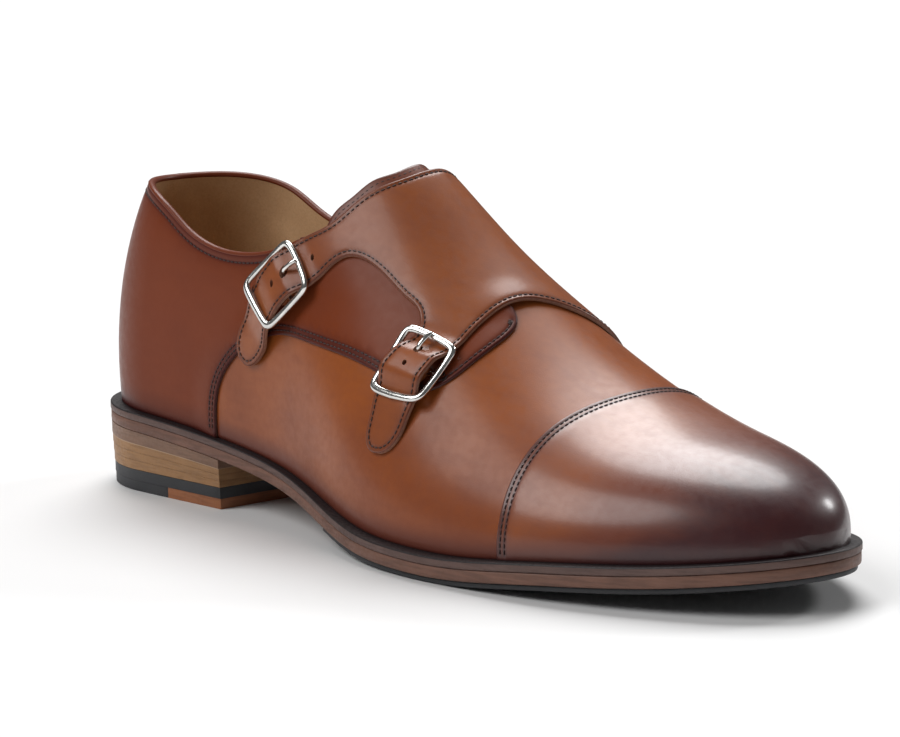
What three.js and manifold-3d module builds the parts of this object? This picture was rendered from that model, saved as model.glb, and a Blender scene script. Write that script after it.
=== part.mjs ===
// A double monk strap shoe for the right foot, men's EU 43, in millimetres.
// +X runs to the toe, +Y to the inner (big toe) side, +Z up; the sole stands on Z = 0.
// Every leather piece is lasted: it is cut as a flat pattern and then bent over one last.
import * as THREE from 'three';
import { ParametricGeometry } from 'three/addons/geometries/ParametricGeometry.js';
import { TessellateModifier } from 'three/addons/modifiers/TessellateModifier.js';
import { mergeGeometries, mergeVertices } from 'three/addons/utils/BufferGeometryUtils.js';
import Module from 'manifold-3d';

const wasm = await Module();
wasm.setup();

// ---------------------------------------------------------------- driving dimensions
const SOLE_LENGTH = 302;
const LAST_BACK = 3;        // the last starts inside the heel edge of the sole
const LAST_TIP = 297;       // and ends inside the toe edge
const HEEL_ROUND = 34;      // length over which the heel rounds in
const TOE_ROUND = 96;       // length over which the toe rounds in
const TOE_FULLNESS = 2.05;  // 2 is an ellipse, more is squarer
const TOE_BOX = 46;         // length over which the toe box comes down
const TOE_BOX_FULLNESS = 2.5;
const TOE_SWING = 2.5;      // how far the toe tip leans inwards
const SWING_START = 200;
const BACK_CURVE = 0.85;    // the heel's back bellies out at this height and then leans in
const BACK_CURVE_HEIGHT = 14;
const BACK_CURVE_REACH = 110;

const GAP = 0.3;            // clearance between pieces that touch
const UPPER_WALL = 2.2;     // vamp or quarter leather with its lining
const OVERLAY = 1.6;        // toe cap and straps
const WELT_THICK = 2.5;
const WELT_WIDTH = 12;
const OUTSOLE_THICK = 3.3;
const OUTSOLE_INSET = 0.2;
const TREAD_THICK = 1.7;
const TREAD_START = 138;
const TREAD_INSET = 1.2;
const INSOLE_THICK = 2.4;
const HEEL_BREAST = 76;
const HEEL_TAPER = 1.2;
const LIFT_TOP = 7.0;       // top of the rubber lift above the floor
const TOP_PIECE = 3.4;      // thickness of the lowest heel layer
const CORNER_START = 50;    // the leather corner fills the front of that layer

// ---------------------------------------------------------------- tables of the last
// Stations along the foot. outer and inner are half widths at the feather edge, ridge is the
// height of the top line, lean its sideways place, side and crown the fullness of the walls
// and of the top, flare how far the walls bulge past the feather edge.
const LAST = {
  x:     [0, 40, 80, 110, 135, 160, 185, 205, 230, 265, 299],
  outer: [30, 30.5, 30.5, 33, 40.5, 48.5, 51.5, 50.5, 49, 47, 46],
  inner: [30, 30.5, 29, 27.5, 29.5, 35.5, 42.5, 45.5, 46.5, 45, 42],
  ridge: [128, 129, 129, 125, 111, 91, 73.5, 61, 48.8, 41, 38.5],
  lean:  [0, 0, 0.5, 2, 4, 5.5, 6.5, 7, 7, 6, 5],
  side:  [0.80, 0.78, 0.70, 0.56, 0.42, 0.40, 0.46, 0.52, 0.58, 0.60, 0.60],
  crown: [0.85, 0.80, 0.72, 0.62, 0.56, 0.54, 0.56, 0.58, 0.62, 0.66, 0.66],
  flare: [3, 3, 3.5, 5, 6, 5, 4, 3, 3, 3, 3],
};
// Height of the feather edge: seat, waist, ball and toe spring.
const SEAT = {
  x:      [0, 40, 80, 110, 140, 165, 185, 200, 230, 265, 302],
  height: [27.4, 25.8, 22, 17.6, 12.3, 9.1, 8.3, 8.3, 10.8, 13.5, 17.8],
};
// How far the welt stands out past the feather edge.
const REACH = {
  x:     [0, 60, 100, 140, 175, 220, 302],
  outer: [3.2, 3, 2.6, 3.6, 4.8, 5, 5],
  inner: [3.2, 3, 2.2, 2.4, 3.6, 4.4, 2.8],
};
// Top line of the quarters, seen from the side.
const COLLAR = {
  x:     [4, 20, 35, 46, 56, 73, 88, 103, 114, 124, 132, 142],
  outer: [98, 99.5, 98, 93.8, 87.8, 82.3, 82.2, 85.8, 91.5, 99, 106, 116],
  inner: [98, 99.5, 97.5, 93.5, 88.5, 84, 84.5, 89.5, 96, 104, 110.5, 118],
};
// The throat slot under the straps, seen from above.
const THROAT = {
  x:     [100, 112, 125, 140, 158, 170],
  outer: [-29, -26, -21.5, -16.5, -10.5, -6],
  inner: [15, 14.5, 14, 13, 11, 8],
};
const THROAT_END = 175;
// Outlines use x along the foot and round, the per cent of the way over the last from the
// outer feather edge (0) past the ridge (50) to the inner one (100). These are the edges of the
// inner quarter's flap between its two straps, and the straps' own widths follow from the buckles.
const FLAP_TOP = {
  x:     [127, 135.5, 137, 135, 128.1, 121.3],
  round: [68, 60, 52, 42.7, 35, 28.3],
};
const FLAP_CUT_OUT = {
  x:     [126.5, 131, 138, 147.5, 156, 161.5],
  round: [24.8, 27.2, 29.1, 30.1, 30.5, 30.6],
};
const FLAP_FRONT = {
  x:     [179.8, 181, 183.2, 187, 190, 191],
  round: [33, 42.3, 47, 52, 58, 68],
};
const STRAP_HALF = 7.5;
const STRAP_FROM = 12;      // each strap leaves the flap this far above its buckle's bar
const STRAP_TAIL = 27;      // and ends this far below it
const STRAP_NOSE = 9;       // length of its rounded end
const TONGUE = {
  x: [190, 160, 130, 114, 116, 121.5, 125.5, 129.5, 131, 129, 127, 150, 176, 190],
  round: [30, 27, 25, 25.5, 28, 33, 38, 42.5, 50, 58, 66, 70, 68, 62],
};
// Where the two buckles sit and which way their straps run, in the same x and round, the height
// of the frame's wire beside the strap, and how much further its rear end stands up than its front.
const BUCKLES = {
  name:        ['upper', 'lower'],
  x:           [107.3, 170.8],
  round:       [17.3, 24.4],
  towardX:     [114.6, 171.8],
  towardRound: [21.3, 28.2],
  lift:        [3.9, 2.6],
  tilt:        [1.3, 0],
};
const CAP_SEAM = 219;       // the toe cap's edge at the feather
const CAP_SEAM_BOW = 3;     // and how much further forward it lies on the ridge

// ---------------------------------------------------------------- curves through tables
// A batten bent through the stations of a table: a natural cubic spline.
function batten(xs, ys) {
  const last = xs.length - 1;
  const bend = xs.map(() => 0);
  const load = xs.map(() => 0);
  for (let i = 1; i < last; i++) {
    const before = xs[i] - xs[i - 1];
    const after = xs[i + 1] - xs[i];
    const share = before / (before + after);
    const pivot = share * bend[i - 1] + 2;
    const kink = (ys[i + 1] - ys[i]) / after - (ys[i] - ys[i - 1]) / before;
    bend[i] = (share - 1) / pivot;
    load[i] = (6 * kink / (before + after) - share * load[i - 1]) / pivot;
  }
  for (let i = last - 1; i >= 0; i--) {
    bend[i] = bend[i] * bend[i + 1] + load[i];
  }
  return (x) => {
    const at = Math.min(Math.max(x, xs[0]), xs[last]);
    let i = 0;
    while (i < last - 1 && at > xs[i + 1]) i++;
    const step = xs[i + 1] - xs[i];
    const a = (xs[i + 1] - at) / step;
    const b = 1 - a;
    const sag = ((a ** 3 - a) * bend[i] + (b ** 3 - b) * bend[i + 1]) * step * step / 6;
    return a * ys[i] + b * ys[i + 1] + sag;
  };
}

function battens(table) {
  const columns = Object.keys(table).filter((key) => key !== 'x');
  return Object.fromEntries(columns.map((key) => [key, batten(table.x, table[key])]));
}

const last = battens(LAST);
const seat = battens(SEAT);
const reach = battens(REACH);

const unit = (t) => Math.min(Math.max(t, 0), 1);
const ease = (t) => unit(t) ** 2 * (3 - 2 * unit(t));
const mix = (a, b, t) => a + (b - a) * t;

// Rounds a width in to nothing at the heel and at the toe.
function heelRound(x, back, length) {
  const t = unit(1 - (x - back) / length);
  return Math.sqrt(1 - t * t);
}
function toeRound(x, tip, length, fullness) {
  const t = unit(1 - (tip - x) / length);
  return (1 - t ** fullness) ** (1 / fullness);
}
const swing = (x) => TOE_SWING * ease((x - SWING_START) / (LAST_TIP - SWING_START));

// ---------------------------------------------------------------- the last
const lengthAt = (u) => mix(LAST_BACK, LAST_TIP, (1 - Math.cos(Math.PI * u)) / 2);
const uAt = (x) => Math.acos(1 - 2 * unit((x - LAST_BACK) / (LAST_TIP - LAST_BACK))) / Math.PI;

// A point on the last: u runs heel to toe, v from the outer feather edge over the ridge
// (0.5) to the inner one. Each half of a section is one cubic curve from feather to ridge.
function lastPoint(u, v) {
  const x = lengthAt(u);
  const round = heelRound(x, LAST_BACK, HEEL_ROUND) * toeRound(x, LAST_TIP, TOE_ROUND, TOE_FULLNESS);
  const outside = v < 0.5;
  const sign = outside ? -1 : 1;
  const width = (outside ? last.outer(x) : last.inner(x)) * round;
  const flare = last.flare(x) * round;
  const foot = seat.height(x);
  const height = (last.ridge(x) - foot) * toeRound(x, LAST_TIP, TOE_BOX, TOE_BOX_FULLNESS);
  const t = outside ? 2 * v : 2 - 2 * v;
  const s = 1 - t;
  const b = [s ** 3, 3 * s * s * t, 3 * s * t * t, t ** 3];
  const lean = mix(swing(x), last.lean(x), toeRound(x, LAST_TIP, TOE_BOX, TOE_BOX_FULLNESS));
  const y = b[0] * (sign * width + swing(x)) + b[1] * (sign * (width + flare) + swing(x))
    + b[2] * (lean + sign * last.crown(x) * width) + b[3] * lean;
  const rise = height * (b[1] * last.side(x) + b[2] + b[3]);
  const belly = BACK_CURVE * ((rise / BACK_CURVE_HEIGHT - 1) ** 2 - 1);
  const fade = ease(1 - (x - LAST_BACK) / BACK_CURVE_REACH);
  return new THREE.Vector3(x + belly * fade, y, foot + rise);
}

const POLE = 0.0005;        // this near the heel or the toe tip, the last is taken as a point
function lastNormal(u, place) {
  if (u > 1 - POLE) return new THREE.Vector3(1, 0, 0);
  const step = 0.002;
  const v = u < POLE ? Math.min(place, 1 - place) : place;
  const atU = Math.min(Math.max(u, step), 1 - step);
  const along = lastPoint(atU + step, v).sub(lastPoint(atU - step, v));
  const around = lastPoint(atU, Math.min(v + step, 1)).sub(lastPoint(atU, Math.max(v - step, 0)));
  const normal = along.cross(around);
  if (u < POLE) normal.y = 0;
  return normal.normalize();
}

// The last grown (or shrunk) by an offset: the surface that a lasted piece lies on. It never
// dips below the feather edge, where the welt lies.
function skin(u, v, offset) {
  const point = lastPoint(u, v).addScaledVector(lastNormal(u, v), offset);
  return point.setZ(Math.max(point.z, seat.height(point.x)));
}

// ---------------------------------------------------------------- making solids
function sheet(place, along, across) {
  return new ParametricGeometry((u, v, target) => target.copy(place(u, v)), along, across);
}

// Joins sheets into one closed geometry and drops the faces that have closed to a line.
const SAME_POINT = 1e-4;
function closeUp(...sheets) {
  for (const one of sheets) {
    one.deleteAttribute('normal');
    one.deleteAttribute('uv');
  }
  const joined = mergeVertices(mergeGeometries(sheets), SAME_POINT);
  const index = joined.index.array;
  const kept = [];
  for (let i = 0; i < index.length; i += 3) {
    const [a, b, c] = index.slice(i, i + 3);
    if (a !== b && b !== c && c !== a) kept.push(a, b, c);
  }
  joined.setIndex(kept);
  return joined;
}

function solid(geometry) {
  const vertProperties = new Float32Array(geometry.attributes.position.array);
  const triVerts = new Uint32Array(geometry.index.array);
  return new wasm.Manifold(new wasm.Mesh({ numProp: 3, vertProperties, triVerts }));
}

function geometryOf(manifold) {
  const mesh = manifold.getMesh();
  const geometry = new THREE.BufferGeometry();
  geometry.setAttribute('position', new THREE.BufferAttribute(new Float32Array(mesh.vertProperties), 3));
  geometry.setIndex([...mesh.triVerts]);
  return geometry;
}

const FORM_LONG = 32;       // facets along a last and round it
const FORM_ROUND = 18;
// The whole last grown by an offset and closed underneath, drop below the feather edge.
function form(offset, drop = 0) {
  const lower = (point) => point.setZ(point.z - drop);
  const sheets = [
    sheet((u, v) => skin(u, v, offset), FORM_LONG, FORM_ROUND),
    sheet((u, v) => lower(skin(u, 1, offset).lerp(skin(u, 0, offset), v)), FORM_LONG, 1),
  ];
  if (drop > 0) {
    const wall = (u, side, share) => skin(u, side, offset).add(new THREE.Vector3(0, 0, -drop * share));
    sheets.push(sheet((u, v) => wall(u, 0, 1 - v), FORM_LONG, 1));
    sheets.push(sheet((u, v) => wall(u, 1, v), FORM_LONG, 1));
  }
  return solid(closeUp(...sheets));
}

// A flat outline in x and round, tessellated and then bent over the last between two offsets.
const ROUND_SCALE = 1.9;    // about a per cent of the way round, in millimetres
const FACET_PASSES = 14;
function lasted(outline, from, to, facet, lift = () => 0) {
  const points = outline.x.map((x, i) => new THREE.Vector3(x, outline.round[i] * ROUND_SCALE, 0));
  const curve = new THREE.CatmullRomCurve3(points, true, 'catmullrom');
  const shape = new THREE.Shape(curve.getPoints(points.length * 2).slice(0, -1)
    .map((p) => new THREE.Vector2(p.x, p.y)));
  const flat = new THREE.ExtrudeGeometry(shape, { depth: 1, bevelEnabled: false });
  const fine = closeUp(new TessellateModifier(facet, FACET_PASSES).modify(flat));
  const position = fine.attributes.position;
  for (let i = 0; i < position.count; i++) {
    const x = position.getX(i);
    const round = position.getY(i) / ROUND_SCALE;
    const offset = mix(from, to, position.getZ(i)) + lift(x, round);
    const bent = skin(uAt(x), round / 100, offset);
    position.setXYZ(i, bent.x, bent.y, bent.z);
  }
  return fine;
}

// ---------------------------------------------------------------- the sole and heel
// Edge of the sole at x: side -1 is the outer edge, +1 the inner one.
function soleEdge(x, side, inset) {
  const round = heelRound(x, 0, HEEL_ROUND) * toeRound(x, SOLE_LENGTH, TOE_ROUND, TOE_FULLNESS);
  const foot = mix(LAST_BACK, LAST_TIP, x / SOLE_LENGTH);
  const half = side < 0 ? last.outer(foot) + reach.outer(x) : last.inner(foot) + reach.inner(x);
  const along = mix(inset, SOLE_LENGTH - inset, x / SOLE_LENGTH);
  return new THREE.Vector3(along, side * (half - inset) * round + swing(foot), 0);
}

// Stations between two ends, drawn closer together where an end is round.
function stations(from, to, roundFrom, roundTo) {
  if (roundFrom && roundTo) return (t) => mix(from, to, (1 - Math.cos(Math.PI * t)) / 2);
  if (roundFrom) return (t) => mix(from, to, 1 - Math.cos(Math.PI * t / 2));
  if (roundTo) return (t) => mix(from, to, Math.sin(Math.PI * t / 2));
  return (t) => mix(from, to, t);
}

// A slab between two heights. Heights are functions of the place along the foot.
const SOLE_STEPS = 28;      // facets along a slab, by how much of the shoe it runs under
const TREAD_STEPS = 22;
const HEEL_STEPS = 12;
const WELT_STEPS = 56;      // and all the way round the welt
function slab({
  edge, top, bottom, from = 0, to = SOLE_LENGTH, roundFrom = true, roundTo = true, steps = SOLE_STEPS,
}) {
  const at = stations(from, to, roundFrom, roundTo);
  const upper = (t, side) => {
    const point = edge(at(t), side, true);
    return point.setZ(top(point.x));
  };
  const under = (t, side) => {
    const point = edge(at(t), side, false);
    return point.setZ(bottom(point.x));
  };
  return closeUp(
    sheet((t, v) => upper(t, -1).lerp(upper(t, 1), v), steps, 1),
    sheet((t, v) => under(t, 1).lerp(under(t, -1), v), steps, 1),
    sheet((t, v) => under(t, -1).lerp(upper(t, -1), v), steps, 1),
    sheet((t, v) => upper(t, 1).lerp(under(t, 1), v), steps, 1),
    sheet((t, v) => under(0, 1).lerp(under(0, -1), t).lerp(upper(0, 1).lerp(upper(0, -1), t), v), 1, 1),
    sheet((t, v) => under(1, -1).lerp(under(1, 1), t).lerp(upper(1, -1).lerp(upper(1, 1), t), v), 1, 1),
  );
}

const weltTop = (x) => seat.height(x) - GAP;
const weltBottom = (x) => weltTop(x) - WELT_THICK;
const outsoleTop = (x) => weltBottom(x) - GAP;
const outsoleBottom = (x) => outsoleTop(x) - OUTSOLE_THICK;
const treadTop = (x) => outsoleBottom(x) - GAP;
const treadBottom = (x) => Math.max(treadTop(x) - TREAD_THICK, 0);

// The welt is a strip all the way round, open in the middle under the insole.
function weltRing() {
  const loop = (t, inset) => {
    const outside = t < 0.5;
    const x = mix(0, SOLE_LENGTH, (1 - Math.cos(2 * Math.PI * t)) / 2);
    return soleEdge(x, outside ? -1 : 1, inset);
  };
  const above = (t, inset) => loop(t, inset).setZ(weltTop(loop(t, inset).x));
  const below = (t, inset) => loop(t, inset).setZ(weltBottom(loop(t, inset).x));
  return closeUp(
    sheet((t, w) => above(t, w * WELT_WIDTH), WELT_STEPS, 1),
    sheet((t, w) => below(t, (1 - w) * WELT_WIDTH), WELT_STEPS, 1),
    sheet((t, h) => below(t, 0).lerp(above(t, 0), h), WELT_STEPS, 1),
    sheet((t, h) => above(t, WELT_WIDTH).lerp(below(t, WELT_WIDTH), h), WELT_STEPS, 1),
  );
}

function outsole() {
  return slab({
    edge: (x, side) => soleEdge(x, side, OUTSOLE_INSET),
    top: outsoleTop,
    bottom: outsoleBottom,
  });
}

function forefootTread() {
  return slab({
    edge: (x, side) => soleEdge(x, side, TREAD_INSET),
    top: treadTop,
    bottom: treadBottom,
    from: TREAD_START,
    roundFrom: false,
    steps: TREAD_STEPS,
  });
}

// The heel narrows a little towards the floor.
const heelTop = () => treadTop(0);
const heelInset = (z) => OUTSOLE_INSET + HEEL_TAPER * (1 - z / heelTop());
function heelSlab(top, bottom, lowZ, highZ, from, to) {
  return slab({
    edge: (x, side, isTop) => soleEdge(x, side, heelInset(isTop ? highZ : lowZ)),
    top,
    bottom,
    from,
    to,
    roundFrom: from === 0,
    roundTo: false,
    steps: HEEL_STEPS,
  });
}

function heelStack() {
  const low = LIFT_TOP + GAP;
  return heelSlab(treadTop, () => low, low, heelTop(), 0, HEEL_BREAST);
}

// The rubber lift is full size, and its lowest layer is rubber only at the back.
function heelRubber() {
  const lift = heelSlab(() => LIFT_TOP, () => TOP_PIECE, TOP_PIECE, LIFT_TOP, 0, HEEL_BREAST);
  const rear = heelSlab(() => TOP_PIECE, () => 0, 0, TOP_PIECE, 0, CORNER_START);
  return geometryOf(solid(lift).add(solid(rear)));
}

function heelCorner() {
  const high = TOP_PIECE - GAP;
  return heelSlab(() => high, () => 0, 0, high, CORNER_START + GAP, HEEL_BREAST);
}

function insole() {
  const inside = -(UPPER_WALL + GAP);
  return slab({
    edge: (x, side) => skin(uAt(x), side < 0 ? 0 : 1, inside),
    top: (x) => seat.height(x) + INSOLE_THICK,
    bottom: (x) => seat.height(x),
    from: LAST_BACK,
    to: LAST_TIP,
  });
}

// ---------------------------------------------------------------- the upper
const FAR = 90;             // further than any half width of the shoe
const HIGH = 190;           // higher than the last's top
const SPLINE_STEPS = 3;     // facets between two stations of a cutting line
const SEAM_STEPS = 4;

// Everything above one quarter's top line, as a slab seen from the side.
function aboveCollar(heights, side) {
  const line = COLLAR.x.map((x, i) => new THREE.Vector2(x, heights[i]));
  const shape = new THREE.Shape();
  shape.moveTo(-FAR, line[0].y);
  shape.lineTo(line[0].x, line[0].y);
  shape.splineThru(line.slice(1));
  shape.lineTo(line.at(-1).x, HIGH);
  shape.lineTo(-FAR, HIGH);
  const slabOut = new THREE.ExtrudeGeometry(
    shape, { depth: FAR, bevelEnabled: false, curveSegments: SPLINE_STEPS });
  slabOut.rotateX(Math.PI / 2);
  slabOut.translate(0, side > 0 ? FAR - GAP : GAP, 0);
  return solid(closeUp(slabOut));
}

// The throat, as a slot seen from above with a round front end.
const THROAT_END_Y = 1;
const THROAT_FLOOR = 8.8;   // the slot stops this far above the feather edge
function throatSlot() {
  const outer = THROAT.x.map((x, i) => new THREE.Vector2(x, THROAT.outer[i]));
  const inner = THROAT.x.map((x, i) => new THREE.Vector2(x, THROAT.inner[i])).reverse();
  const shape = new THREE.Shape();
  shape.moveTo(outer[0].x, outer[0].y);
  shape.splineThru([...outer.slice(1), new THREE.Vector2(THROAT_END, THROAT_END_Y), ...inner]);
  const slot = new THREE.ExtrudeGeometry(
    shape, { depth: HIGH, bevelEnabled: false, curveSegments: SPLINE_STEPS });
  slot.translate(0, 0, seat.height(THROAT_END) + THROAT_FLOOR);
  return solid(closeUp(slot));
}

function upper() {
  const shell = form(0).subtract(form(-UPPER_WALL, 2 * UPPER_WALL));
  const open = shell.subtract(aboveCollar(COLLAR.outer, -1)).subtract(aboveCollar(COLLAR.inner, 1));
  return geometryOf(open.subtract(throatSlot()));
}

// The toe cap is what two grown lasts leave between them, in front of a bowed seam.
const CAP_HALF_WIDTH = 54;
function toeCap() {
  const shell = form(GAP + OVERLAY).subtract(form(GAP, UPPER_WALL));
  const half = CAP_HALF_WIDTH;
  const seam = [1, 0.5, 0, -0.5, -1].map((y) => (
    new THREE.Vector2(CAP_SEAM + CAP_SEAM_BOW * (1 - y * y), y * half)));
  const shape = new THREE.Shape();
  shape.moveTo(SOLE_LENGTH + FAR, half);
  shape.lineTo(seam[0].x, seam[0].y);
  shape.splineThru(seam.slice(1));
  shape.lineTo(SOLE_LENGTH + FAR, -half);
  const region = new THREE.ExtrudeGeometry(
    shape, { depth: HIGH, bevelEnabled: false, curveSegments: SEAM_STEPS });
  region.translate(0, 0, -UPPER_WALL);
  return geometryOf(shell.intersect(solid(closeUp(region))));
}

const TONGUE_DEPTH = UPPER_WALL + 3 * GAP;
const TONGUE_FACET = 11;
function tongue() {
  return lasted(TONGUE, -TONGUE_DEPTH - OVERLAY, -TONGUE_DEPTH, TONGUE_FACET);
}

// ---------------------------------------------------------------- straps and buckles
const WIRE_SIDES = 6;
const FRAME_STEPS = 32;
const FRAME_LENGTH = 9.4;   // half sizes of a buckle frame, to the middle of its wire
const FRAME_FRONT = 8.9;
const FRAME_REAR = 9.8;
const FRAME_WIRE = 1.0;
const FRAME_SQUARE = 8;     // 2 is an ellipse, more is squarer
const FRAME_BOW = 1.2;      // how much higher the frame's two ends are than its sides
const BAR_WIRE = 0.9;
const BAR_LIFT = 1.5;
const BAR_BEND = 8;         // the bar stays low under the strap and climbs to the frame at its ends
const BAR_STEPS = 8;
const STRAP_RISE = 4;       // how far the strap rises over the buckle's bar
const RISE_FLAT = 2;
const RISE_REACH = 9;
const RISE_WIDTH = 14;      // the rise fades out this far from the strap's middle
const RISE_SIDE_FADE = 4.9;
const STRAP_FACET = 6.8;
const NOSE_TURNS = [0.3, 0.6, 0.85, 1];
const NOSE_BLUNTNESS = 0.8;
const PRONG_WIRE = 0.75;
const PRONG_STEPS = 8;
const PRONG_HOLE_AT = 4.3;
const PRONG_KNEE_AT = 6.7;
const PRONG_HEIGHTS = { hole: 3.6, knee: 5.3 };
const HOLE_RADIUS = 1.9;
const HOLE_SIDES = 10;
const DRILL_DEPTH = 14;
const DRILL_MIDDLE = 2;
const TAB_WIDTH = 5.5;      // half of it
const TAB_THICK = 1;
const TAB_LENGTH = 4.5;
const TAB_REAR = 0.6;       // share of the thickness that is left at the tab's skived end
const TAB_STEPS = 4;

// A place on the last with its own directions: along the strap, across it and outwards.
function buckleSeat(i) {
  const x = BUCKLES.x[i];
  const round = BUCKLES.round[i];
  const step = 0.5;
  const place = (dx, dr) => skin(uAt(x + dx), (round + dr) / 100, 0);
  const perX = place(step, 0).sub(place(-step, 0)).divideScalar(2 * step);
  const perRound = place(0, step).sub(place(0, -step)).divideScalar(2 * step);
  const normal = perX.clone().cross(perRound).normalize();
  const heading = [BUCKLES.towardX[i] - x, BUCKLES.towardRound[i] - round];
  const along = perX.clone().multiplyScalar(heading[0]).addScaledVector(perRound, heading[1]).normalize();
  const across = normal.clone().cross(along);
  const centre = place(0, 0);
  const [lift, tilt] = [BUCKLES.lift[i], BUCKLES.tilt[i]];
  return { x, round, perX, perRound, normal, along, across, centre, lift, tilt };
}
const seats = BUCKLES.x.map((_, i) => buckleSeat(i));

// A point drawn flat round a buckle seat, as x and round on the last.
function drawn(place, along, across) {
  const flat = place.along.clone().multiplyScalar(along).addScaledVector(place.across, across);
  const xx = place.perX.lengthSq();
  const xr = place.perX.dot(place.perRound);
  const rr = place.perRound.lengthSq();
  const fx = flat.dot(place.perX);
  const fr = flat.dot(place.perRound);
  const area = xx * rr - xr * xr;
  return [place.x + (fx * rr - fr * xr) / area, place.round + (fr * xx - fx * xr) / area];
}

// The same point bent over the last.
function near(place, along, across, offset) {
  const [x, round] = drawn(place, along, across);
  return skin(uAt(x), round / 100, offset);
}

// How far the strap piece stands off the last where it climbs over a buckle's bar.
function strapLift(x, round) {
  const point = skin(uAt(x), round / 100, 0);
  return seats.reduce((most, place) => {
    const from = point.clone().sub(place.centre);
    const away = Math.abs(from.dot(place.along));
    const aside = Math.abs(from.dot(place.across));
    const over = ease((RISE_REACH - away) / (RISE_REACH - RISE_FLAT));
    const beside = ease((RISE_WIDTH - aside) / RISE_SIDE_FADE);
    return Math.max(most, STRAP_RISE * over * beside);
  }, 0);
}

function prongHole(place) {
  const drill = new THREE.CylinderGeometry(HOLE_RADIUS, HOLE_RADIUS, DRILL_DEPTH, HOLE_SIDES);
  drill.applyMatrix4(new THREE.Matrix4().makeBasis(place.across, place.normal, place.along));
  const at = near(place, PRONG_HOLE_AT, 0, DRILL_MIDDLE);
  drill.translate(at.x, at.y, at.z);
  return solid(closeUp(drill));
}

// The edge of a strap from the flap down one side, round its end and up the other side.
function strapEdge(place) {
  const nose = STRAP_TAIL - STRAP_NOSE;
  const side = [STRAP_FROM, 0, -nose].map((along) => [along, STRAP_HALF]);
  const end = NOSE_TURNS.map((t) => {
    const turn = t * Math.PI / 2;
    return [-nose - STRAP_NOSE * Math.sin(turn), STRAP_HALF * Math.cos(turn) ** NOSE_BLUNTNESS];
  });
  const down = [...side, ...end];
  const up = down.slice(0, -1).reverse().map(([along, across]) => [along, -across]);
  return [...down, ...up].map(([along, across]) => drawn(place, along, across));
}

function strapPiece() {
  const edges = [FLAP_TOP, strapEdge(seats[0]), FLAP_CUT_OUT, strapEdge(seats[1]), FLAP_FRONT];
  const points = edges.flatMap((edge) => (
    Array.isArray(edge) ? edge : edge.x.map((x, i) => [x, edge.round[i]])));
  const outline = { x: points.map((p) => p[0]), round: points.map((p) => p[1]) };
  const leather = solid(lasted(outline, GAP, GAP + OVERLAY, STRAP_FACET, strapLift));
  return geometryOf(seats.reduce((piece, place) => piece.subtract(prongHole(place)), leather));
}

// A round wire along a path drawn in a buckle seat: path gives along, across and offset.
function wire(place, path, radius, steps, closed) {
  const step = 1e-3;
  const tube = sheet((share, s) => {
    const t = closed ? share % 1 : share;
    const [along, across, offset] = path(t);
    const [a, b] = [path(t - step), path(t + step)];
    const run = new THREE.Vector3(b[0] - a[0], b[1] - a[1], b[2] - a[2]).normalize();
    const side = new THREE.Vector3(0, 0, 1).cross(run).normalize();
    const up = run.clone().cross(side);
    const turn = -2 * Math.PI * (s % 1);
    const out = side.multiplyScalar(radius * Math.cos(turn)).addScaledVector(up, radius * Math.sin(turn));
    return near(place, along + out.x, across + out.y, offset + out.z);
  }, steps, WIRE_SIDES);
  if (closed) return closeUp(tube);
  const cap = (t, isEnd) => sheet((s, w) => {
    const position = tube.attributes.position;
    const ring = Math.round(s * WIRE_SIDES) * (steps + 1) + (isEnd ? steps : 0);
    const rim = new THREE.Vector3().fromBufferAttribute(position, ring);
    const centre = near(place, ...path(t));
    return isEnd ? centre.lerp(rim, w) : rim.lerp(centre, w);
  }, WIRE_SIDES, 1);
  return closeUp(tube, cap(0, false), cap(1, true));
}

function buckleFrame(place) {
  const power = 2 / FRAME_SQUARE;
  const squircle = (value) => Math.sign(value) * Math.abs(value) ** power;
  const frame = wire(place, (t) => {
    const along = squircle(Math.cos(2 * Math.PI * t));
    const across = squircle(Math.sin(2 * Math.PI * t));
    const half = mix(FRAME_REAR, FRAME_FRONT, (along + 1) / 2);
    const rise = place.lift + FRAME_BOW * along * along - place.tilt * along;
    return [along * FRAME_LENGTH, across * half, rise];
  }, FRAME_WIRE, FRAME_STEPS, true);
  const half = mix(FRAME_REAR, FRAME_FRONT, 0.5);
  const bar = wire(place, (t) => {
    const across = mix(-half, half, t);
    return [0, across, mix(BAR_LIFT, place.lift, (across / half) ** BAR_BEND)];
  }, BAR_WIRE, BAR_STEPS, false);
  return geometryOf(solid(frame).add(solid(bar)));
}

function buckleProng(place) {
  const front = place.lift + FRAME_BOW - place.tilt;
  const path = new THREE.CatmullRomCurve3([
    new THREE.Vector3(BAR_WIRE + PRONG_WIRE + GAP, 0, BAR_LIFT),
    new THREE.Vector3(PRONG_HOLE_AT, 0, PRONG_HEIGHTS.hole),
    new THREE.Vector3(PRONG_KNEE_AT, 0, PRONG_HEIGHTS.knee),
    new THREE.Vector3(FRAME_LENGTH + FRAME_WIRE, 0, front + FRAME_WIRE + PRONG_WIRE + GAP),
  ]);
  return wire(place, (t) => path.getPoint(unit(t)).toArray(), PRONG_WIRE, PRONG_STEPS, false);
}

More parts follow.
